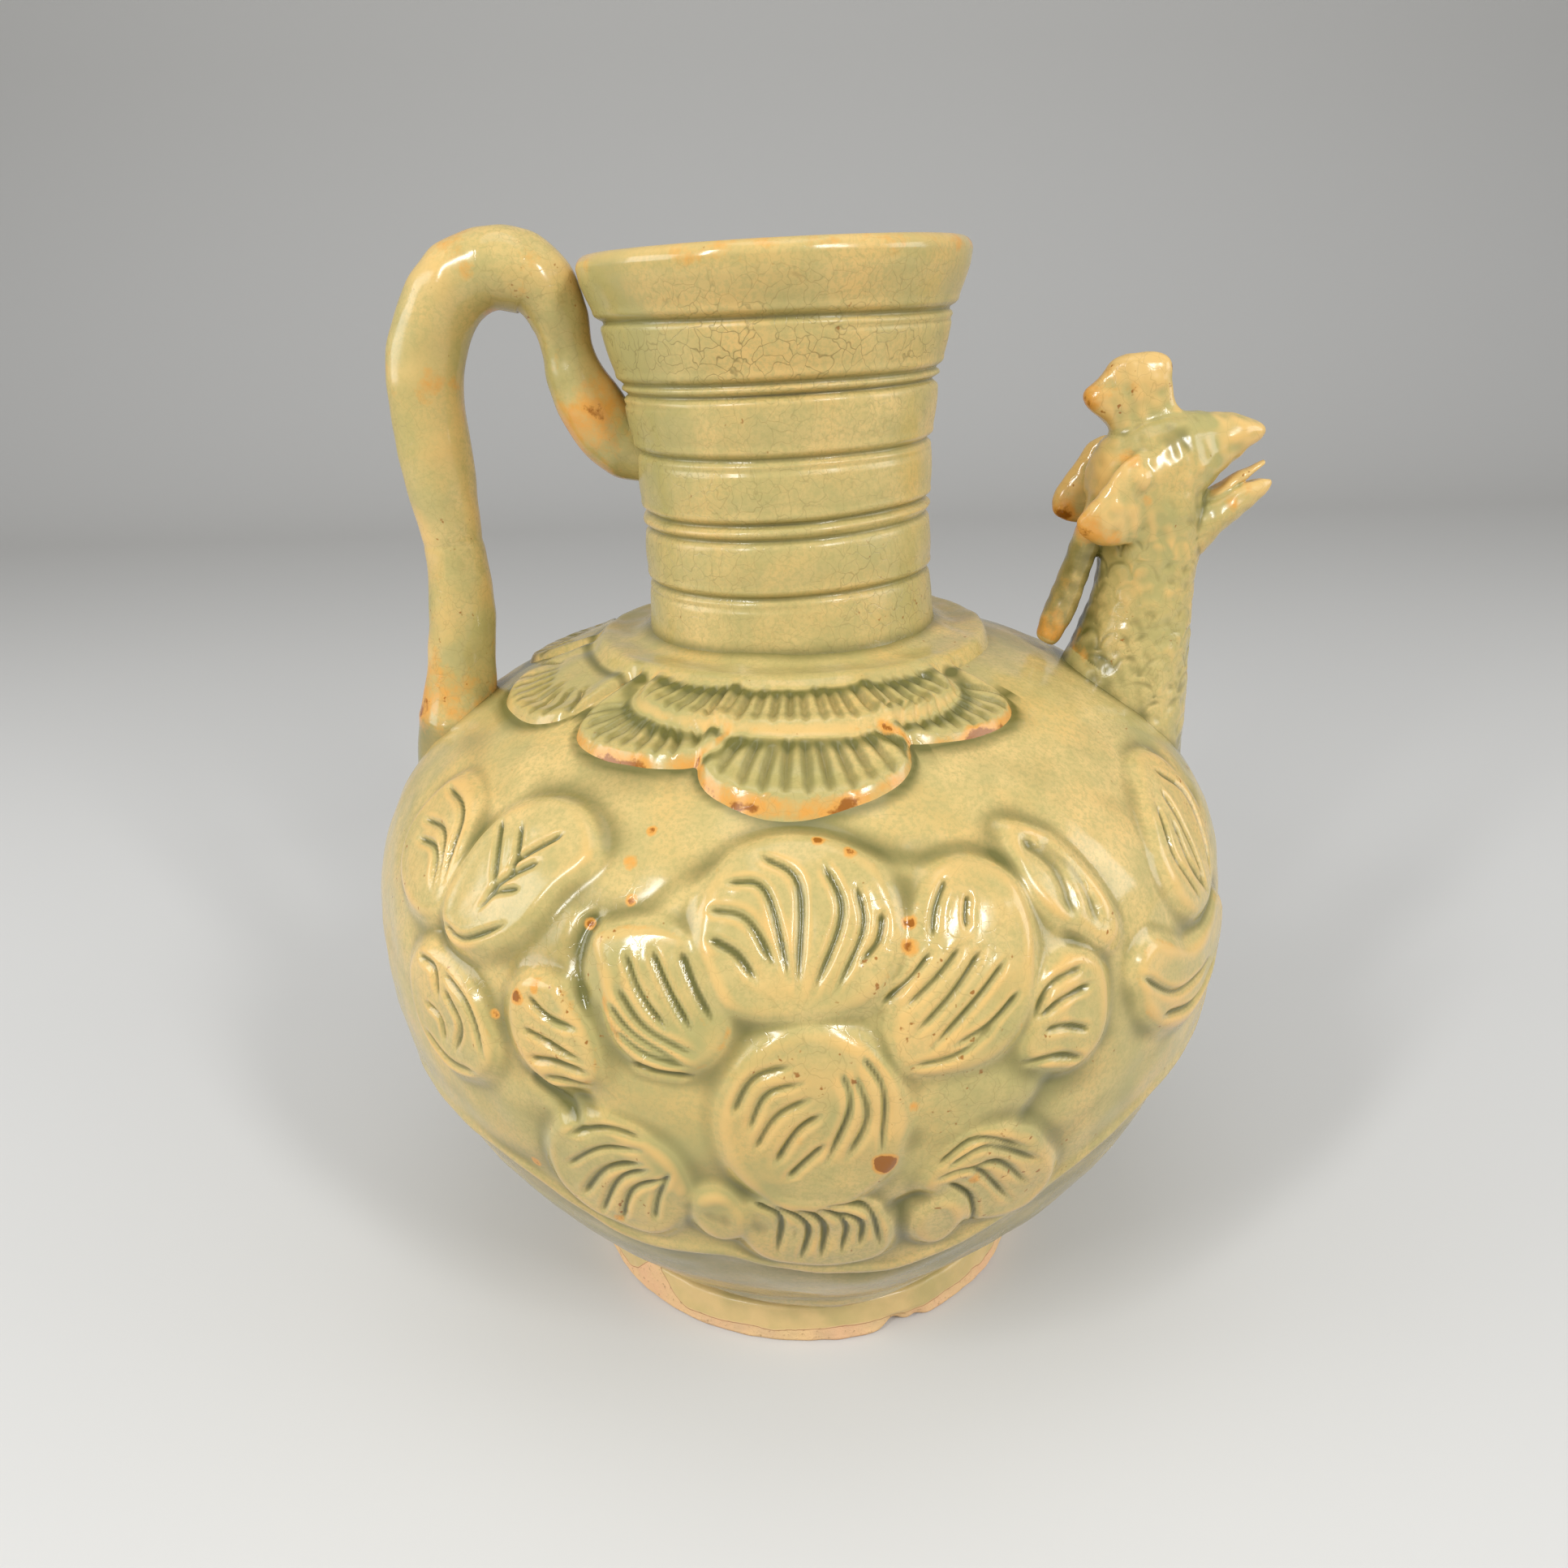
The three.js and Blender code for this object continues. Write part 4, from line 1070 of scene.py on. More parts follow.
def make_foot():
    columns = np.linspace(0, 360, 480, endpoint=False)
    bottom = FOOT_RADIUS
    top = FOOT_RADIUS - FOOT_TAPER
    inner = top - FOOT_WIDTH
    shares = np.linspace(0.12, 0.93, 22)
    wall = [(bottom + (top - bottom) * share, FOOT_HEIGHT * share) for share in shares]
    profile = np.array([
        (bottom - 1.0, 0.0), (bottom - 0.35, 0.15), (bottom, 0.7), *wall,
        (top - 0.2, FOOT_HEIGHT - 0.2), (top - 0.8, FOOT_HEIGHT), (inner + 0.8, FOOT_HEIGHT),
        (inner, FOOT_HEIGHT - 0.8), (inner, 4.5), (inner, 0.9), (inner + 0.4, 0.2), (inner + 1.0, 0.0),
        (inner + 2.5, 0.0), (bottom - 4.0, 0.0), (bottom - 2.5, 0.0),
    ])
    radius = profile[:, :1] + 0 * columns
    height = profile[:, 1:] + 0 * columns
    points = on_turn(radius, columns[None, :], height)
    uneven = hand_made(points, FOOT_LUMPS)
    chip = bumps(columns, CHIPS)
    low = smoothstep(4.5, 0.0, height) * (radius > bottom - 3)
    radius = radius + uneven * (height > 0.05) - chip[None, :] * low
    height = height + 0.8 * chip[None, :] * low * (radius > bottom - 3.5)
    height = np.minimum(height, FOOT_HEIGHT)
    points = on_turn(radius, columns[None, :], height)
    line = GLAZE_LINE + ripple(np.radians(columns), GLAZE_LINE_WAVES) + bumps(columns, BARE_PATCHES)
    wash = height - line[None, :]
    wash[radius < top - 1.5] = -3.0
    faces = torus_faces(*points.shape[:2])
    relief = np.clip(wash / 3.0, -1, 1)
    add_piece("foot", points.reshape(-1, 3), faces, bare_clay, ["foot_ring"], relief=relief)


# Collar. The fan of cuts spreads over a share of a petal's turn, and its cuts' sizes are in
# millimetres; the petal's face and the flange's are dished by a share of their rise
FAN_SPREAD = 0.87
CUT_WIDTH = 0.47
CUT_END = 0.8
COLLAR_DISH = 0.42
FLANGE_DISH = 0.35
COLLAR_SUNK = 2.6


def petal_reach(shape, angle):
    share = np.clip(np.abs(angle) / shape["half"], 0, 1)
    return FLANGE_RADIUS + shape["ends"] + (shape["reach"] - shape["ends"]) * np.sqrt(1 - share ** 2.5)


def pressed_petal(shape, middle, radius, columns, chance):
    """One moulded petal, a soft rim round a dished face with a fan of cuts.

    Given back are its lift, cover, thinness and burn, and the pool of glaze against its edge.
    """
    angle = ((columns - middle + 180) % 360 - 180)[None, :]
    reach = petal_reach(shape, angle)
    to_rim = reach - radius
    to_end = (shape["half"] - np.abs(angle)) * radius * pi / 180
    edge = np.minimum(to_rim, to_end) + 0 * radius
    near = 1.2 * np.exp(-np.abs(to_rim - to_end) / 1.2)
    edge = edge - near
    full = smoothstep(-1.6, 1.8, edge)
    lift = shape["rise"] * (full - COLLAR_DISH * smoothstep(2.2, 6.0, edge))
    thin = 0.5 * bell(edge - 0.8, 1.3)
    burn = shape["burn"] * bell(edge - 0.1, 1.5)
    for place in np.linspace(-FAN_SPREAD, FAN_SPREAD, shape["strokes"]):
        place += chance.uniform(-0.008, 0.008)
        start = shape["half"] * place
        high = float(petal_reach(shape, start)) - chance.uniform(2.2, 3.2)
        low = high - shape["length"] * chance.uniform(0.8, 1.1) * (1 - 0.25 * place ** 2)
        along = np.clip((radius - low) / (high - low), 0, 1)
        bow = start - shape["fan"] * place * (1 - along) ** 2
        side = (angle - bow) * radius * pi / 180
        beyond = np.maximum(np.maximum(low - radius, radius - high), 0)
        swell = 0.45 + 0.55 * np.sin(pi * np.clip(along + 0.1, 0.1, 0.95))
        depth = shape["cut"] * chance.uniform(0.75, 1.2) * swell
        mark = bell(side, CUT_WIDTH) * bell(beyond, CUT_END)
        lift = lift - depth * mark
        thin = thin - mark - 0.1 * bell(side, 1.3) * bell(beyond, 1.5)
    pool = 0.7 * bell(edge + 2.2, 1.3)
    return np.where(edge > -1.6, lift, 0), full, thin, burn, pool


def pressed_petals(radius, columns):
    """All the petals, laid over each other from the lowest up: their lift, thinness and burn."""
    chance = np.random.default_rng(11)
    lift = np.full((len(radius), len(columns)), -2.0)
    thin = np.zeros_like(lift)
    burn = np.zeros_like(lift)
    layers = [(lobe["at"], lobe) for lobe in LOWER_LOBES]
    layers += [(180 - lobe["at"], lobe) for lobe in LOWER_LOBES]
    layers += [(0, UPPER_PETAL), (180, UPPER_PETAL)]
    for middle, shape in layers:
        petal, full, edge, rim_burn, pool = pressed_petal(shape, middle, radius, columns, chance)
        under = np.maximum(lift, 0) * 0.55 + np.minimum(lift, 0)
        raised = np.maximum(petal + 0.5 * np.maximum(lift, 0), under)
        lift = lift * (1 - full) + raised * full
        thin = (thin - pool) * (1 - full) + edge * np.minimum(1, 2 * full)
        burn = burn * (1 - full) + rim_burn * np.minimum(1, 2 * full)
    return lift, thin, burn


def under_flange(radius, lift, thin, burn):
    """The same with the flange laid over the petals' inner ends, and the petals just past its edge
    darkened by pooled glaze and painted shade.
    """
    to_rim = FLANGE_RADIUS - radius
    full = smoothstep(-1.1, 1.5, to_rim) + 0 * lift
    flange = FLANGE_THICKNESS * (1 - FLANGE_DISH * bell(radius - NECK_RADIUS - 4.5, 3.2)) + 0 * lift
    flange += 0.35 * bell(to_rim - 2.0, 1.6)
    lift = lift * (1 - full) + flange * full
    at_edge = 0.25 * bell(to_rim - 1.0, 1.8)
    at_neck = 1.1 * np.exp(-(radius - NECK_RADIUS) / 2.2)
    # Pooled glaze and painted shade just past the flange's edge
    pool = 0.9 * bell(to_rim + 1.7, 1.3)
    thin = (thin - pool) * (1 - full) + (at_edge - at_neck) * full
    burn = burn * (1 - full) + 0.12 * bell(to_rim, 1.5)
    return lift, thin, burn


def make_collar():
    """Flange and petals in one skin, as glaze has run over the joints between them."""
    columns = body_columns()
    radius = np.linspace(NECK_RADIUS - 1.5, FLANGE_RADIUS + LOWER_LOBES[0]["reach"] + 2.5, 108)[:, None]
    lift, thin, burn = under_flange(radius, *pressed_petals(radius, columns))
    plain = on_turn(radius, columns[None, :], shoulder_height(radius) + 0 * lift)
    lift += hand_made(plain, COLLAR_LUMPS) * smoothstep(-0.6, 0.3, lift)
    top = on_turn(radius, columns[None, :], shoulder_height(radius) + lift)
    inner = np.linspace(radius[-1, 0], radius[0, 0], 20)[:, None]
    bottom = on_turn(inner, columns[None, :], shoulder_height(inner) - COLLAR_SUNK)
    rings = np.concatenate([top, bottom])
    points, faces = rings.reshape(-1, 3), torus_faces(*rings.shape[:2])
    relief = curvature(points, faces, reach=1.3, rounds=2).reshape(rings.shape[:2])
    relief[:len(radius)] += thin + 0.12 * np.clip(lift - 1.0, -1, 1)
    burnt = np.zeros_like(relief)
    burnt[:len(radius)] = burn * (1 + 0.45 * lumps(top, 12, 43))
    nodes = ["shoulder_flange", "upper_petal_front", "upper_petal_back"]
    for side in ("front", "back"):
        nodes += [f"collar_lobe_{side}_{number}" for number in (1, 2, 3, 4)]
    relief = np.clip(relief, -1.2, 1.3)
    add_piece("collar", points, faces, thin_glaze, nodes, relief=relief, burn=burnt)


# Neck. Between its grooves it bulges by a share of their distance, up to the widest band's
NECK_BULGE = 0.045
WIDEST_BAND = 12
GROOVE_WIDTH = 0.62
NECK_FILLET = 1.6
CRAZED_BAND = NECK_TOP - 17.5


def neck_radius(height):
    flare = np.clip((np.asarray(height) - (NECK_TOP - FLARE_HEIGHT)) / FLARE_HEIGHT, 0, None)
    return NECK_RADIUS + FLARE_GAIN * flare ** FLARE_POWER


def lean_neck(points):
    """The thrown neck leans a little towards the handle, and its rim tilts with it."""
    slope = np.tan(NECK_LEAN)
    rise = np.maximum(0, points[..., 2] - NECK_FOOT)
    leaned = points.copy()
    leaned[..., 2] += np.minimum(1, rise / LEAN_BLEND) * slope * points[..., 0]
    leaned[..., 0] -= slope * rise
    return leaned


def turned_face(heights, turn):
    """The neck's outer face, bulging between its turned grooves: its radius and its shade."""
    chance = np.random.default_rng(9)
    radius = neck_radius(heights)[:, None] + 0 * turn
    height = heights[:, None] + 0 * turn
    shade = 0 * height
    levels = sorted(NECK_TOP - depth for depth in GROOVES_BELOW_RIM)
    bands = [heights[0], *levels, NECK_TOP]
    for low, high in zip(bands, bands[1:]):
        share = np.clip((heights - low) / (high - low), 0, 1)
        radius += (NECK_BULGE * min(high - low, WIDEST_BAND) * np.sin(pi * share))[:, None]
    for level in levels:
        wander = 0
        for waves in (1, 2, 3, 5):
            size = chance.uniform(0.1, 0.4) / waves
            wander = wander + size * np.sin(waves * turn + chance.uniform(0, 2 * pi))
        depth = chance.uniform(0.85, 1.2)
        away = height - level - wander
        radius -= depth * bell(away, GROOVE_WIDTH)
        radius += 0.25 * bell(away - 1.3, 0.7)
        shade += 0.3 * bell(away - 0.2, 1.1)
        faint = 0.4 * smoothstep(0, 1, np.sin(turn + chance.uniform(0, 6)))
        radius -= faint * bell(away + 1.9, 0.35)
    radius += NECK_FILLET * np.exp(-(height - NECK_FOOT) / 1.8) * (height > NECK_FOOT - 1)
    return radius, shade


def make_neck():
    columns = np.linspace(0, 360, 320, endpoint=False)
    turn = np.radians(columns)[None, :]
    start = NECK_FOOT - 2.0
    lip_start = NECK_TOP - LIP_HEIGHT
    heights = np.linspace(start, lip_start, 150)
    radius, shade = turned_face(heights, turn)
    height = heights[:, None] + 0 * turn
    middle = NECK_TOP - LIP_HEIGHT / 2
    arcs = np.linspace(0, pi, 26)
    lip_radius = neck_radius(middle) - NECK_WALL / 2 + (NECK_WALL / 2) * np.cos(arcs)
    lip_height = middle + (LIP_HEIGHT / 2) * np.sin(arcs)
    inside = np.linspace(lip_start, start, 60)
    bore = neck_radius(inside) - NECK_WALL
    radius = np.concatenate([radius, lip_radius[:, None] + 0 * turn, bore[:, None] + 0 * turn])
    height = np.concatenate([height, lip_height[:, None] + 0 * turn, inside[:, None] + 0 * turn])
    points = on_turn(radius, columns[None, :], height)
    points = lean_neck(on_turn(radius + hand_made(points, NECK_LUMPS), columns[None, :], height))
    faces = torus_faces(*points.shape[:2])
    flat = points.reshape(-1, 3)
    relief = curvature(flat, faces, reach=0.9, rounds=2).reshape(height.shape)
    relief[:len(heights)] += 0.1 - shade
    relief += 0.4 * smoothstep(NECK_TOP - 4, NECK_TOP, height)
    relief -= 0.8 * np.exp(-np.maximum(height - NECK_FOOT - 2, 0) / 1.6)
    top_band = bell(height - CRAZED_BAND, 5.0)
    relief -= 0.22 * top_band
    outside = np.arange(len(height))[:, None] < len(heights)
    craze = (0.2 + 0.3 * top_band + 0.12 * lumps(points, 18, 33)) * outside
    burn = 0.42 * bell(height - NECK_TOP + 1.5, 3.0) * (1 + 0.4 * lumps(points, 20, 34))
    relief = np.clip(relief, -1.1, 1)
    craze = np.clip(craze, 0, 0.7)
    add_piece("neck", flat, faces, glaze, ["neck"], relief=relief, craze=craze, burn=burn)


# Coils
def coil_rings(path, count, sides, flat=1.0):
    """Round rings along a smooth path [x, z, radius] in the plane y = 0."""
    line = evenly(smooth_path(path, 24), count)
    tangent = np.gradient(line[:, :2], axis=0)
    tangent /= np.linalg.norm(tangent, axis=1, keepdims=True)
    turns = np.linspace(0, 2 * pi, sides, endpoint=False)
    out = line[:, 2:3] * np.cos(turns)[None, :]
    x = line[:, :1] + tangent[:, 1:2] * out
    z = line[:, 1:2] - tangent[:, :1] * out
    y = line[:, 2:3] * flat * np.sin(turns)[None, :]
    return np.stack([x, y, z], -1), line


def ring_middles(line):
    """The middle of each ring of a coil, in the rings' own shape."""
    return np.stack([line[:, 0], 0 * line[:, 0], line[:, 1]], -1)[:, None, :]


def roughened(rings, line, layers):
    """Rings pushed in and out from their middles by one layer of lumps after another."""
    for size, seed, height in layers:
        arm = rings - ring_middles(line)
        length = np.linalg.norm(arm, axis=-1, keepdims=True)
        rings = rings + arm / np.maximum(length, 1e-6) * height * lumps(rings, size, seed)[..., None]
    return rings


def rooted(points):
    """Points that would go through the shoulder stop just under its face."""
    radius = np.hypot(points[..., 0], points[..., 1])
    points[..., 2] = np.maximum(points[..., 2], shoulder_height(radius) - 2 * SUNK)
    return points


# Share of the reach, share of the height from the shoulder to the arch, share of the thickness
HANDLE_LEG = (
    (1.04, -0.18, 1.1), (1.02, 0, 1.07), (1, 0.09, 1.03), (0.982, 0.2, 0.98), (0.971, 0.33, 0.9),
    (0.974, 0.43, 0.89), (0.986, 0.53, 0.95), (0.997, 0.635, 1.04), (1, 0.716, 1.04), (0.99, 0.808, 1.06),
    (0.957, 0.892, 1.08), (0.887, 0.965, ARCH_SWELL), (0.778, 1, ARCH_SWELL), (0.664, 0.97, 1.02),
)

# Distance out from the neck's face, share of the height, share of the thickness
HANDLE_LIMB = (
    (9.3, 0.896, 0.82), (9.9, 0.828, 0.72), (9.9, 0.77, 0.84), (8.6, 0.712, 0.97), (6.2, 0.655, 0.93),
    (2.6, 0.614, 0.78), (-2.2, 0.592, 0.66),
)

# Shares of the way along the handle: where its leg ends, its limb begins, and two coils were joined
LEG_SHARE = 0.36
LIMB_SHARE = 0.79
COIL_JOINT = 0.325

# Fired spots: share of the way along, spread and strength
HANDLE_SPOTS = ((0.14, 0.09, 0.65), (0.5, 0.05, 0.3), (0.67, 0.09, 0.35), (0.92, 0.065, 0.75))


def make_handle():
    half = HANDLE_THICKNESS / 2
    root = float(shoulder_height(HANDLE_REACH))
    arch = NECK_TOP + HANDLE_ABOVE_RIM - half * ARCH_SWELL
    path = []
    for reach, share, thick in HANDLE_LEG:
        path.append((-HANDLE_REACH * reach, root + (arch - root) * share, half * thick))
    for out, share, thick in HANDLE_LIMB:
        height = root + (arch - root) * share
        path.append((-float(neck_radius(height)) - out, height, half * thick))
    rings, line = coil_rings(path, count=340, sides=48)
    above = line[:, 1] - shoulder_height(-line[:, 0])
    along = np.linspace(0, 1, len(line))
    near_root = (along < LEG_SHARE) * np.exp(-np.maximum(above, 0) / 3.2)
    gap = -line[:, 0] - neck_radius(line[:, 1])
    near_neck = (along > LIMB_SHARE) * np.exp(-np.maximum(gap - 3, 0) / 2.2)
    ring_mark = bell(along - COIL_JOINT, 0.006)
    swell = 1.0 + 0.2 * near_root + 0.1 * near_neck - 0.025 * ring_mark
    middles = ring_middles(line)
    rings = middles + (rings - middles) * swell[:, None, None]
    rings = roughened(rings, line, HANDLE_LUMPS)
    leg_rings = along < LEG_SHARE
    rings[leg_rings] = rooted(rings[leg_rings])
    points, faces = capped_tube(rings)
    relief = curvature(points, faces, reach=3.0, rounds=6) - 0.15
    tint = 0.34 * lumps(rings, 15, 53) - 0.5 * near_root[:, None] - 0.4 * near_neck[:, None]
    relief[:tint.size] += tint.reshape(-1)
    burn = bumps(along, HANDLE_SPOTS)
    burnt = np.zeros(len(points))
    burnt[:tint.size] = (burn[:, None] + 0.2 * lumps(rings, 11, 54)).reshape(-1)
    relief = np.clip(relief, -1, 1.2)
    add_piece("handle", points, faces, glaze, ["handle"], relief=relief, burn=burnt)


# Bird
SPOUT_FOOT_HEIGHT = float(shoulder_height(SPOUT_FOOT_RADIUS))
HEAD_X = SPOUT_FOOT_RADIUS + SPOUT_FORWARD
HEAD_Z = SPOUT_FOOT_HEIGHT + SPOUT_NECK_LENGTH

# The neck's rows: forward and up as shares, and share of the way from the root's radius to the top's
SPOUT_NECK_ROWS = (
    (0, -0.9, 0), (-0.02, -0.07, -0.02), (0.05, 0.16, 0.08), (0.33, 0.35, 0.4), (0.62, 0.55, 0.72),
    (0.88, 0.84, 0.98),
)

# Slices of the head from the front edge [x, z] to the back edge, with the half width
HEAD_SLICES = (
    ((10, 2), (-11.4, 3), 0.95), ((9.8, 7), (-14, 12), 1), ((9.7, 10), (-12.6, 19), 0.98),
    ((11.5, 12.3), (-7.3, 24), 0.86), ((13.5, 14.6), (0, 26.2), 0.68), ((15.8, 16.8), (7, 26), 0.5),
    ((18.3, 18.7), (14, 25.5), 0.36), ((20.2, 19.8), (19.4, 23.9), 0.22), ((20.9, 20.8), (21, 22.6), 0.1),
)

# Rows of the jaw: forward, top, bottom and half width
LOWER_BEAK = (
    (4, 9.0, -3.4, 6.6), (8, 9.6, -3.0, 6.6), (10.6, 10.3, -1.4, 6.0), (13.1, 11.2, 1.6, 5.3),
    (15.6, 12.0, 3.6, 4.5), (18, 12.7, 5.5, 3.5), (20.8, 13.2, 7.8, 2.4), (22.8, 12.9, 9.8, 1.4),
    (23.5, 12.3, 11, 0.7),
)

# Rows of the tongue: forward, height, half depth and half width
TONGUE = (
    (9.2, 8.4, 1.6, 3.4), (12.2, 9.9, 1.6, 3.2), (15, 11.8, 1.5, 2.6), (18, 13.6, 1.1, 1.9),
    (21.8, 15.8, 0.7, 1.0),
)

# Outlines of the flat pieces, and the plume's spine with its half thickness
CREST = np.array([
    (-8.2, 19), (-10.4, 23.5), (-14.8, 27.4), (-15.4, 30.2), (-12.8, 32.8), (-10.6, 35.4), (-8, 36.9),
    (-1.4, 37), (1, 35.4), (1.8, 31), (2.8, 27.4), (6, 24.2), (2, 20),
])
NEAR_EAR = np.array([
    (-18.0, 6.8), (-16.6, 3.6), (-12, 1.6), (-6, 1.6), (0, 3.6), (3, 9), (2, 15.5), (-3.6, 19.6),
    (-9.6, 17.5), (-14.0, 12),
])
FAR_EAR = np.array([
    (-6.6, 20.6), (-11.2, 19.6), (-15.2, 13.6), (-18.2, 8.4), (-17.6, 4.6), (-13, 2.8), (-8.6, 4.2),
    (-6.6, 12),
])
PLUME_SPINE = np.array([
    (-8, 12, 2.6), (-10.6, 8, 2.8), (-13.2, 1, 3.0), (-15.4, -6, 3.0), (-18, -13.5, 3.0),
    (-20.2, -18.6, 2.6), (-20.8, -20, 1.8),
])
EYE_FORWARD = -6.6
EYE_UP = 14.2
EYE_OUT = HEAD_HALF_WIDTH * 0.86

# The neck's scales: their width, how many rows are as high as that, the radius they are laid out
# on, their depth, and how wide the cut round each is as a share of its width
SCALE_SIZE = 5.6
SCALE_ROWS = 1.2
SCALED_RADIUS = 10.5
SCALE_DEPTH = 0.13
SCALE_CUT = 0.09

# How finely the bird's parts are fused, and how often its creases are rounded off
FUSED_STEP = 0.3
CREASE_ROUNDS = 5
CHEEK_ROUNDS = 12

# Fired spots, as forward and up from the head's foot, size and strength
BIRD_SPOTS = (
    (-8.0, 18.0, 3.0, 0.6), (-4.5, 10.5, 2.0, 0.65), (-10.5, 3.5, 2.4, 0.8), (-15.5, 5.0, 3.0, 0.75),
    (-6.5, 31.0, 2.6, 0.45), (14.0, 8.0, 3.0, 0.55), (18.5, 11.0, 2.4, 0.5), (14.0, 25.5, 2.6, 0.45),
    (21.5, 22.0, 1.6, 0.4),
)


def sliced_rings(slices, count, sides):
    """Oval rings between [front x, front z, back x, back z, half width] slices, smoothly filled in."""
    rows = smooth_path(slices, 30)
    steps = np.hypot(*np.diff((rows[:, :2] + rows[:, 2:4]) / 2, axis=0).T) + 1e-3
    along = np.concatenate([[0], np.cumsum(steps)])
    wanted = np.linspace(0, along[-1], count)
    rows = np.column_stack([np.interp(wanted, along, column) for column in rows.T])
    turns = np.linspace(0, 2 * pi, sides, endpoint=False)
    front, back = rows[:, None, :2], rows[:, None, 2:4]
    middle, arm = (front + back) / 2, (front - back) / 2
    xz = middle + arm * np.cos(turns)[None, :, None]
    y = rows[:, 4:5] * np.sin(turns)[None, :]
    return np.stack([xz[..., 0], y, xz[..., 1]], -1), middle[:, 0]


def neck_slices():
    """Slices up the bird's neck and over its head, as [front x, front z, back x, back z, half width]."""
    slices = []
    for forward, up, share in SPOUT_NECK_ROWS:
        radius = SPOUT_ROOT_RADIUS + (SPOUT_TOP_RADIUS - SPOUT_ROOT_RADIUS) * share
        x = SPOUT_FOOT_RADIUS + SPOUT_FORWARD * forward
        z = SPOUT_FOOT_HEIGHT + SPOUT_NECK_LENGTH * up
        slices.append((x + radius, z, x - radius, z, radius * 0.96))
    for front, back, share in HEAD_SLICES:
        slices.append((HEAD_X + front[0], HEAD_Z + front[1], HEAD_X + back[0], HEAD_Z + back[1],
                       HEAD_HALF_WIDTH * share))
    return slices


def neck_and_head():
    rings, line = sliced_rings(neck_slices(), count=200, sides=80)
    above = line[:, 1] - shoulder_height(line[:, 0])
    near_root = np.exp(-np.maximum(above + 4, 0) / 3.5)[:, None]
    middles = ring_middles(line)
    turn = np.arctan2(rings[..., 1], rings[..., 0] - line[:, :1])
    flare = 0.22 * near_root * (0.6 - 0.6 * np.cos(turn))
    return middles + (rings - middles) * (1 + flare)[..., None]


def lower_beak():
    """The jaw, hollowed on top, running back into the throat."""
    rows = smooth_path(LOWER_BEAK, 14)
    turns = np.linspace(0, 2 * pi, 48, endpoint=False)
    c, s = np.cos(turns), np.sin(turns)
    half = (rows[:, 1:2] - rows[:, 2:3]) / 2
    hollow = np.where(s > 0, s * (1 - 0.3 * bell(c, 0.5)), s)
    z = (rows[:, 1:2] + rows[:, 2:3]) / 2 + half * hollow[None, :]
    x = rows[:, :1] + 0 * z
    return np.stack([HEAD_X + x, rows[:, 3:4] * c[None, :], HEAD_Z + z], -1)


def tongue():
    rows = smooth_path(TONGUE, 14)
    turns = np.linspace(0, 2 * pi, 32, endpoint=False)
    y = rows[:, 3:4] * np.cos(turns)[None, :]
    z = rows[:, 1:2] + rows[:, 2:3] * np.sin(turns)[None, :]
    return np.stack([HEAD_X + rows[:, :1] + 0 * y, y, HEAD_Z + z], -1)


def pillow(outline, y, thickness, power, rows=26):
    """A rounded plate: an outline in the XZ plane drawn in towards its middle on both sides."""
    edge = evenly(np.vstack([smooth_path(outline, 12, closed=True), outline[:1]]), 121)[:-1]
    middle = edge.mean(0)
    share = np.sin(np.linspace(0.02, pi / 2, rows))
    rings = []
    for side, order in ((1, share), (-1, share[::-1][1:])):
        for q in order:
            xz = middle + (edge - middle) * q
            rise = side * thickness / 2 * (1 - q ** power) ** (1 / power)
            rings.append(np.column_stack([xz[:, 0], np.full(len(xz), y + rise), xz[:, 1]]))
    return np.array(rings) + np.array([HEAD_X, 0, HEAD_Z])


def eye(side):
    across = np.linspace(0.03, pi - 0.03, 20)[:, None]
    turns = np.linspace(0, 2 * pi, 28, endpoint=False)[None, :]
    x = EYE_RADIUS * np.sin(across) * np.cos(turns)
    z = EYE_RADIUS * np.sin(across) * np.sin(turns)
    y = side * EYE_RADIUS * (np.cos(across) + 0 * turns)
    middle = np.array([HEAD_X + EYE_FORWARD, side * EYE_OUT, HEAD_Z + EYE_UP])
    return middle + np.stack([x, y, z], -1)


def plume():
    spine = PLUME_SPINE.copy()
    spine[:, 0] += HEAD_X
    spine[:, 1] += HEAD_Z
    return coil_rings(spine, count=70, sides=40, flat=1.25)[0]


def fused(parts, voxel, rounds):
    """One skin over overlapping closed parts, with the creases between them rounded off."""
    points, faces, start = [], [], 0
    for rings in parts:
        part_points, part_faces = capped_tube(rings)
        faces += [[corner + start for corner in face] for face in turned_out(part_points, part_faces)]
        points.append(part_points)
        start += len(part_points)
    mesh = bpy.data.meshes.new("parts")
    mesh.from_pydata(np.vstack(points).tolist(), [], faces)
    rough = link_object("parts", mesh)
    remesh = rough.modifiers.new("skin", "REMESH")
    remesh.mode = "VOXEL"
    remesh.voxel_size = voxel
    skin = rough.evaluated_get(bpy.context.evaluated_depsgraph_get()).to_mesh()
    points = np.zeros(len(skin.vertices) * 3)
    skin.vertices.foreach_get("co", points)
    points = points.reshape(-1, 3)
    faces = [list(polygon.vertices) for polygon in skin.polygons]
    bpy.data.objects.remove(rough)
    bpy.data.meshes.remove(mesh)
    pairs = neighbours(faces)
    for _ in range(rounds):
        points = 0.4 * points + 0.6 * mean_around(points, pairs)
    return points, faces


def softened(points, faces, rounds):
    """The same skin with the creases about the cheeks rounded off further."""
    pairs = neighbours(faces)
    x, z = points[:, 0] - HEAD_X, points[:, 2] - HEAD_Z
    cheek = smoothstep(9, 4, x) * smoothstep(-6, 0, z) * smoothstep(24, 20, z)
    share = 0.6 * cheek[:, None]
    for _ in range(rounds):
        points = (1 - share) * points + share * mean_around(points, pairs)
    return points


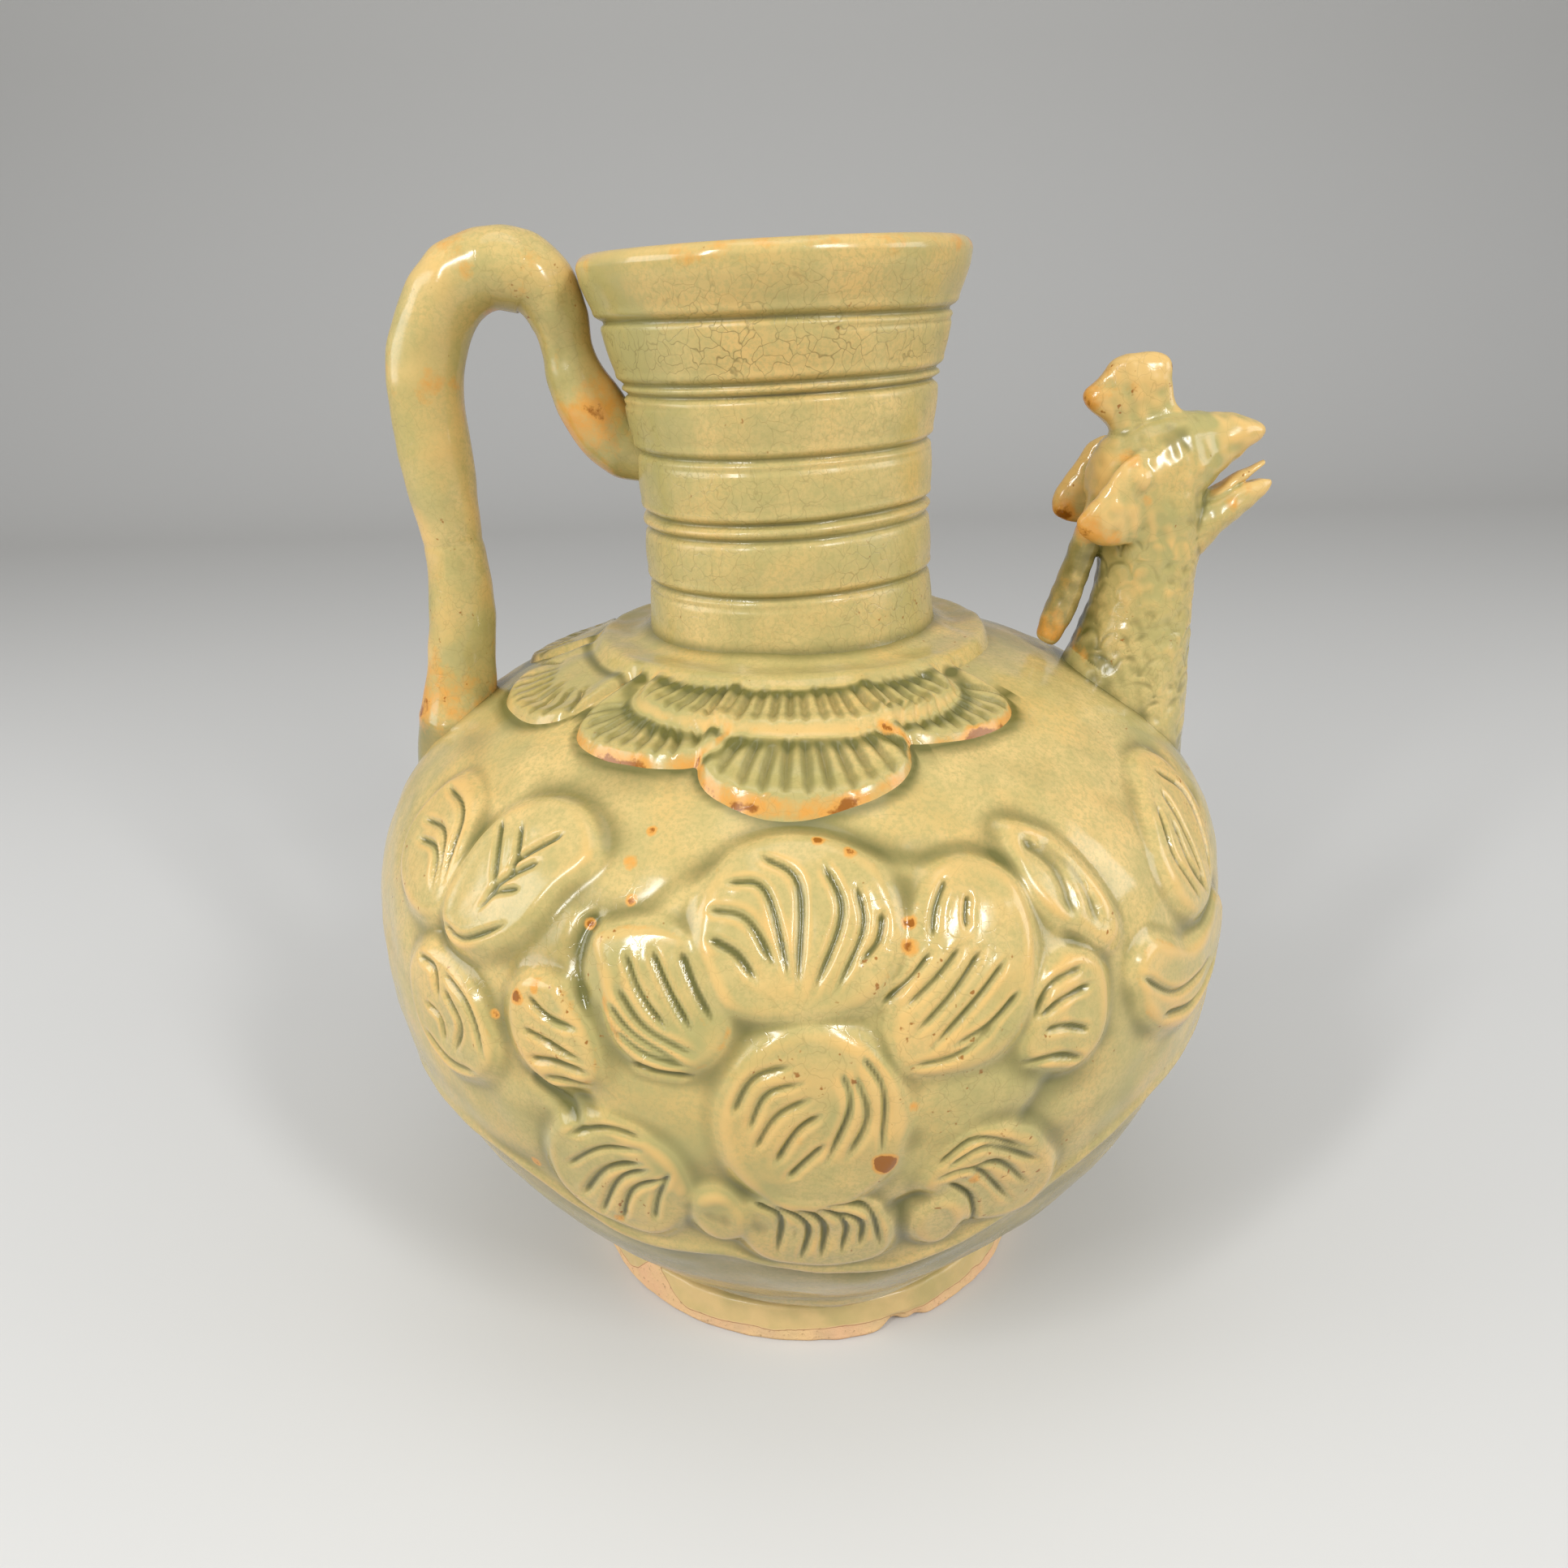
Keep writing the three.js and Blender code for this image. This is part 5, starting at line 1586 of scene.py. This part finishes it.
def feather_scales(points):
    """How deep the scales are cut into the bird's neck at each point, 0 to 1."""
    rows = np.array(neck_slices())
    middle = np.interp(points[:, 2], (rows[:, 1] + rows[:, 3]) / 2, (rows[:, 0] + rows[:, 2]) / 2)
    radius = np.interp(points[:, 2], (rows[:, 1] + rows[:, 3]) / 2, (rows[:, 0] - rows[:, 2]) / 2)
    x, y = points[:, 0] - middle, points[:, 1]
    on_neck = smoothstep(2.2, 0.9, np.abs(np.hypot(x, y) - radius))
    above = points[:, 2] - shoulder_height(np.hypot(points[:, 0], points[:, 1]))
    on_neck *= smoothstep(HEAD_Z + 7, HEAD_Z, points[:, 2]) * smoothstep(0, 6, above)
    turn = np.arctan2(y, x)
    v = points[:, 2] / SCALE_SIZE * SCALE_ROWS + 0.04 * np.sin(7 * turn)
    row = np.floor(v)
    u = turn * SCALED_RADIUS / SCALE_SIZE + 0.5 * (row % 2) + 0.12 * lumps(points, 8, 64)
    away = np.hypot((u - np.round(u)) * 1.05, np.maximum(v - row - 0.1, 0) * 0.75) - 0.5
    worn = 0.55 + 0.45 * lumps(points, 12, 65)
    return bell(away, SCALE_CUT) * on_neck * np.clip(worn, 0.1, 1)


def bird_glaze(points, scales):
    """Where the glaze pools below 0 or is thin above 0 on the bird, and how far it is fired."""
    above = points[:, 2] - shoulder_height(np.hypot(points[:, 0], points[:, 1]))
    x, z = points[:, 0] - HEAD_X, points[:, 2] - HEAD_Z
    clear = above > 3
    root_pool = 0.55 * np.exp(-np.maximum(above, 0) / 2.5)
    brow_pool = 0.5 * bell(x - 2.5, 4) * bell(z - 22, 3)
    throat_pool = 0.3 * bell(x - 6, 4) * bell(z - 6, 5)
    plume_pool = 0.7 * smoothstep(-9, -13, x) * smoothstep(4, 0, z) * clear
    thin_ears = 0.28 * smoothstep(4, -3, x) * smoothstep(-1, 5, z)
    thin_crest = 0.2 * smoothstep(24, 28, z)
    thin_beak = 0.4 * smoothstep(8, 12, x) * smoothstep(6, 11, z)
    tint = 0.3 * lumps(points, 10, 63) - root_pool - 0.12 * scales - brow_pool - throat_pool
    tint += thin_ears + thin_crest
    tint += thin_beak
    tint -= plume_pool

    plume_burn = 0.36 * smoothstep(-11, -17, x) * clear
    crest_burn = 0.6 * smoothstep(-7, -13, x) * smoothstep(24, 30, z)
    root_burn = 0.3 * np.exp(-np.maximum(above - 3, 0) / 6) * smoothstep(-6, -14, x)
    burn = plume_burn + crest_burn
    for middle_x, middle_z, reach, amount in BIRD_SPOTS:
        burn += amount * bell(np.hypot(x - middle_x, z - middle_z), reach)
    return tint, burn + root_burn + 0.06 * lumps(points, 7, 66)


def make_bird():
    """Spout neck, head, beak, crest, ears, eyes and plume under one coat of glaze."""
    ears = [pillow(outline, side * (EAR_INNER_Y + EAR_THICKNESS / 2), EAR_THICKNESS, power=2.2)
            for side, outline in ((-1, NEAR_EAR), (1, FAR_EAR))]
    for ear in ears:
        ear[..., 1] *= 1 - 0.36 * smoothstep(HEAD_X - 13, HEAD_X + 2, ear[..., 0])
    crest = pillow(CREST, 0, CREST_THICKNESS, power=2.6)
    crest[..., 1] *= 1 + 0.35 * smoothstep(HEAD_Z + 27, HEAD_Z + 21, crest[..., 2])
    parts = [neck_and_head(), lower_beak(), tongue(), crest, *ears, eye(-1), eye(1), plume()]
    points, faces = fused(parts, FUSED_STEP, CREASE_ROUNDS)
    points = softened(points, faces, CHEEK_ROUNDS)
    scales = feather_scales(points)
    normals = outward(points, faces)
    lift = hand_made(points, BIRD_LUMPS) - SCALE_DEPTH * scales
    points = points + normals * lift[:, None]
    near_body = points[:, 2] < SPOUT_FOOT_HEIGHT + 14
    points[near_body] = rooted(points[near_body])
    tint, burn = bird_glaze(points, scales)
    relief = curvature(points, faces, reach=1.5, rounds=3)
    nodes = ["spout_neck", "phoenix_head", "lower_beak", "tongue", "crest"]
    nodes += ["ear_near", "ear_far", "eye_near", "eye_far", "nape_plume"]
    relief = np.clip(relief + tint, -1.2, 1.3)
    add_piece("bird", points, faces, thin_glaze, nodes, relief=relief, burn=burn)


# The whole pot
make_body()
make_foot()
make_neck()
make_collar()
make_handle()
make_bird()


# Stage
FLOOR_SIZE = 3.0
FLOOR_BEND = 0.5
BEND_STEPS = 12
FLOOR_PAPER = (0.64, 0.64, 0.63)
FLOOR_BOUNCE = (0.44, 0.42, 0.38)


def floor_material():
    """Pale paper that throws little light back up at the pot."""
    material, tree, shader = new_material("floor_paper")
    path = tree.nodes.new("ShaderNodeLightPath")
    seen = maths("MAXIMUM", path.outputs["Is Camera Ray"], path.outputs["Is Glossy Ray"])
    seen = maths("MAXIMUM", seen, path.outputs["Is Transmission Ray"])
    tree.links.new(mix(tree, seen, FLOOR_BOUNCE, FLOOR_PAPER), shader.inputs["Base Color"])
    shader.inputs["Roughness"].default_value = 0.9
    return material


def make_stage():
    """A pale sheet that runs back over the table and bends up behind the pot."""
    back = FLOOR_SIZE / 2
    start = back - FLOOR_BEND
    rows = [(-back, 0.0), (start, 0.0)]
    for step in range(1, BEND_STEPS + 1):
        turn = radians(90 * step / BEND_STEPS)
        rows.append((start + FLOOR_BEND * sin(turn), FLOOR_BEND - FLOOR_BEND * cos(turn)))
    rows.append((back, FLOOR_SIZE))
    vertices = [(x, y, z) for y, z in rows for x in (-FLOOR_SIZE, FLOOR_SIZE)]
    faces = [(2 * i, 2 * i + 1, 2 * i + 3, 2 * i + 2) for i in range(len(rows) - 1)]
    mesh = bpy.data.meshes.new("floor")
    mesh.from_pydata(vertices, [], faces)
    mesh.polygons.foreach_set("use_smooth", [True] * len(mesh.polygons))
    mesh.materials.append(floor_material())
    link_object("floor", mesh)


# Light
WORLD_LIGHT = 0.5
LIT_HEIGHT = 0.1

# Name, place, width, height and watts
LAMPS = (
    ("left_window", (-0.5, -0.6, 0.66), 0.08, 0.4, 3.5),
    ("right_window", (0.45, -0.65, 0.66), 0.10, 0.3, 3.4),
    ("left_side", (-0.9, -0.2, 0.45), 0.5, 0.5, 3.2),
    ("right_side", (0.9, -0.2, 0.45), 0.5, 0.5, 2.7),
    ("top_lamp", (0.0, -0.1, 1.2), 0.5, 0.5, 1.1),
)


def area_lamp(name, location, target, width, height, power):
    light = bpy.data.lights.new(name, "AREA")
    light.shape = "RECTANGLE"
    light.size = width
    light.size_y = height
    light.energy = power
    lamp = link_object(name, light)
    lamp.location = location
    lamp.rotation_euler = (Vector(target) - Vector(location)).to_track_quat("-Z", "Y").to_euler()


def make_light():
    world = bpy.data.worlds.new("studio")
    world.use_nodes = True
    background = world.node_tree.nodes["Background"]
    background.inputs["Color"].default_value = (1.0, 1.0, 1.0, 1.0)
    background.inputs["Strength"].default_value = WORLD_LIGHT
    bpy.context.scene.world = world
    for name, place, width, height, watts in LAMPS:
        area_lamp(name, place, (AXIS_X * MM, 0.0, LIT_HEIGHT), width, height, watts)


# Camera
CAMERA_DISTANCE = 0.252
CAMERA_HEIGHT = 0.208
CAMERA_ASIDE = 0.0027
CAMERA_PITCH = 21.4
CAMERA_ROLL = -1.7
FOCAL_PIXELS = 1512
PHOTO_PIXELS = 1932
SENSOR = 36.0


def make_camera():
    data = bpy.data.cameras.new("camera")
    data.sensor_width = SENSOR
    data.lens = SENSOR * FOCAL_PIXELS / PHOTO_PIXELS
    data.clip_start = 0.01
    camera = link_object("camera", data)
    place = Matrix.Translation((AXIS_X * MM - CAMERA_ASIDE, -CAMERA_DISTANCE, CAMERA_HEIGHT))
    aim = Matrix.Rotation(radians(90 - CAMERA_PITCH), 4, "X")
    camera.matrix_world = place @ aim @ Matrix.Rotation(radians(CAMERA_ROLL), 4, "Z")
    bpy.context.scene.camera = camera


make_stage()
make_light()
make_camera()
bpy.context.scene.view_settings.view_transform = "Standard"
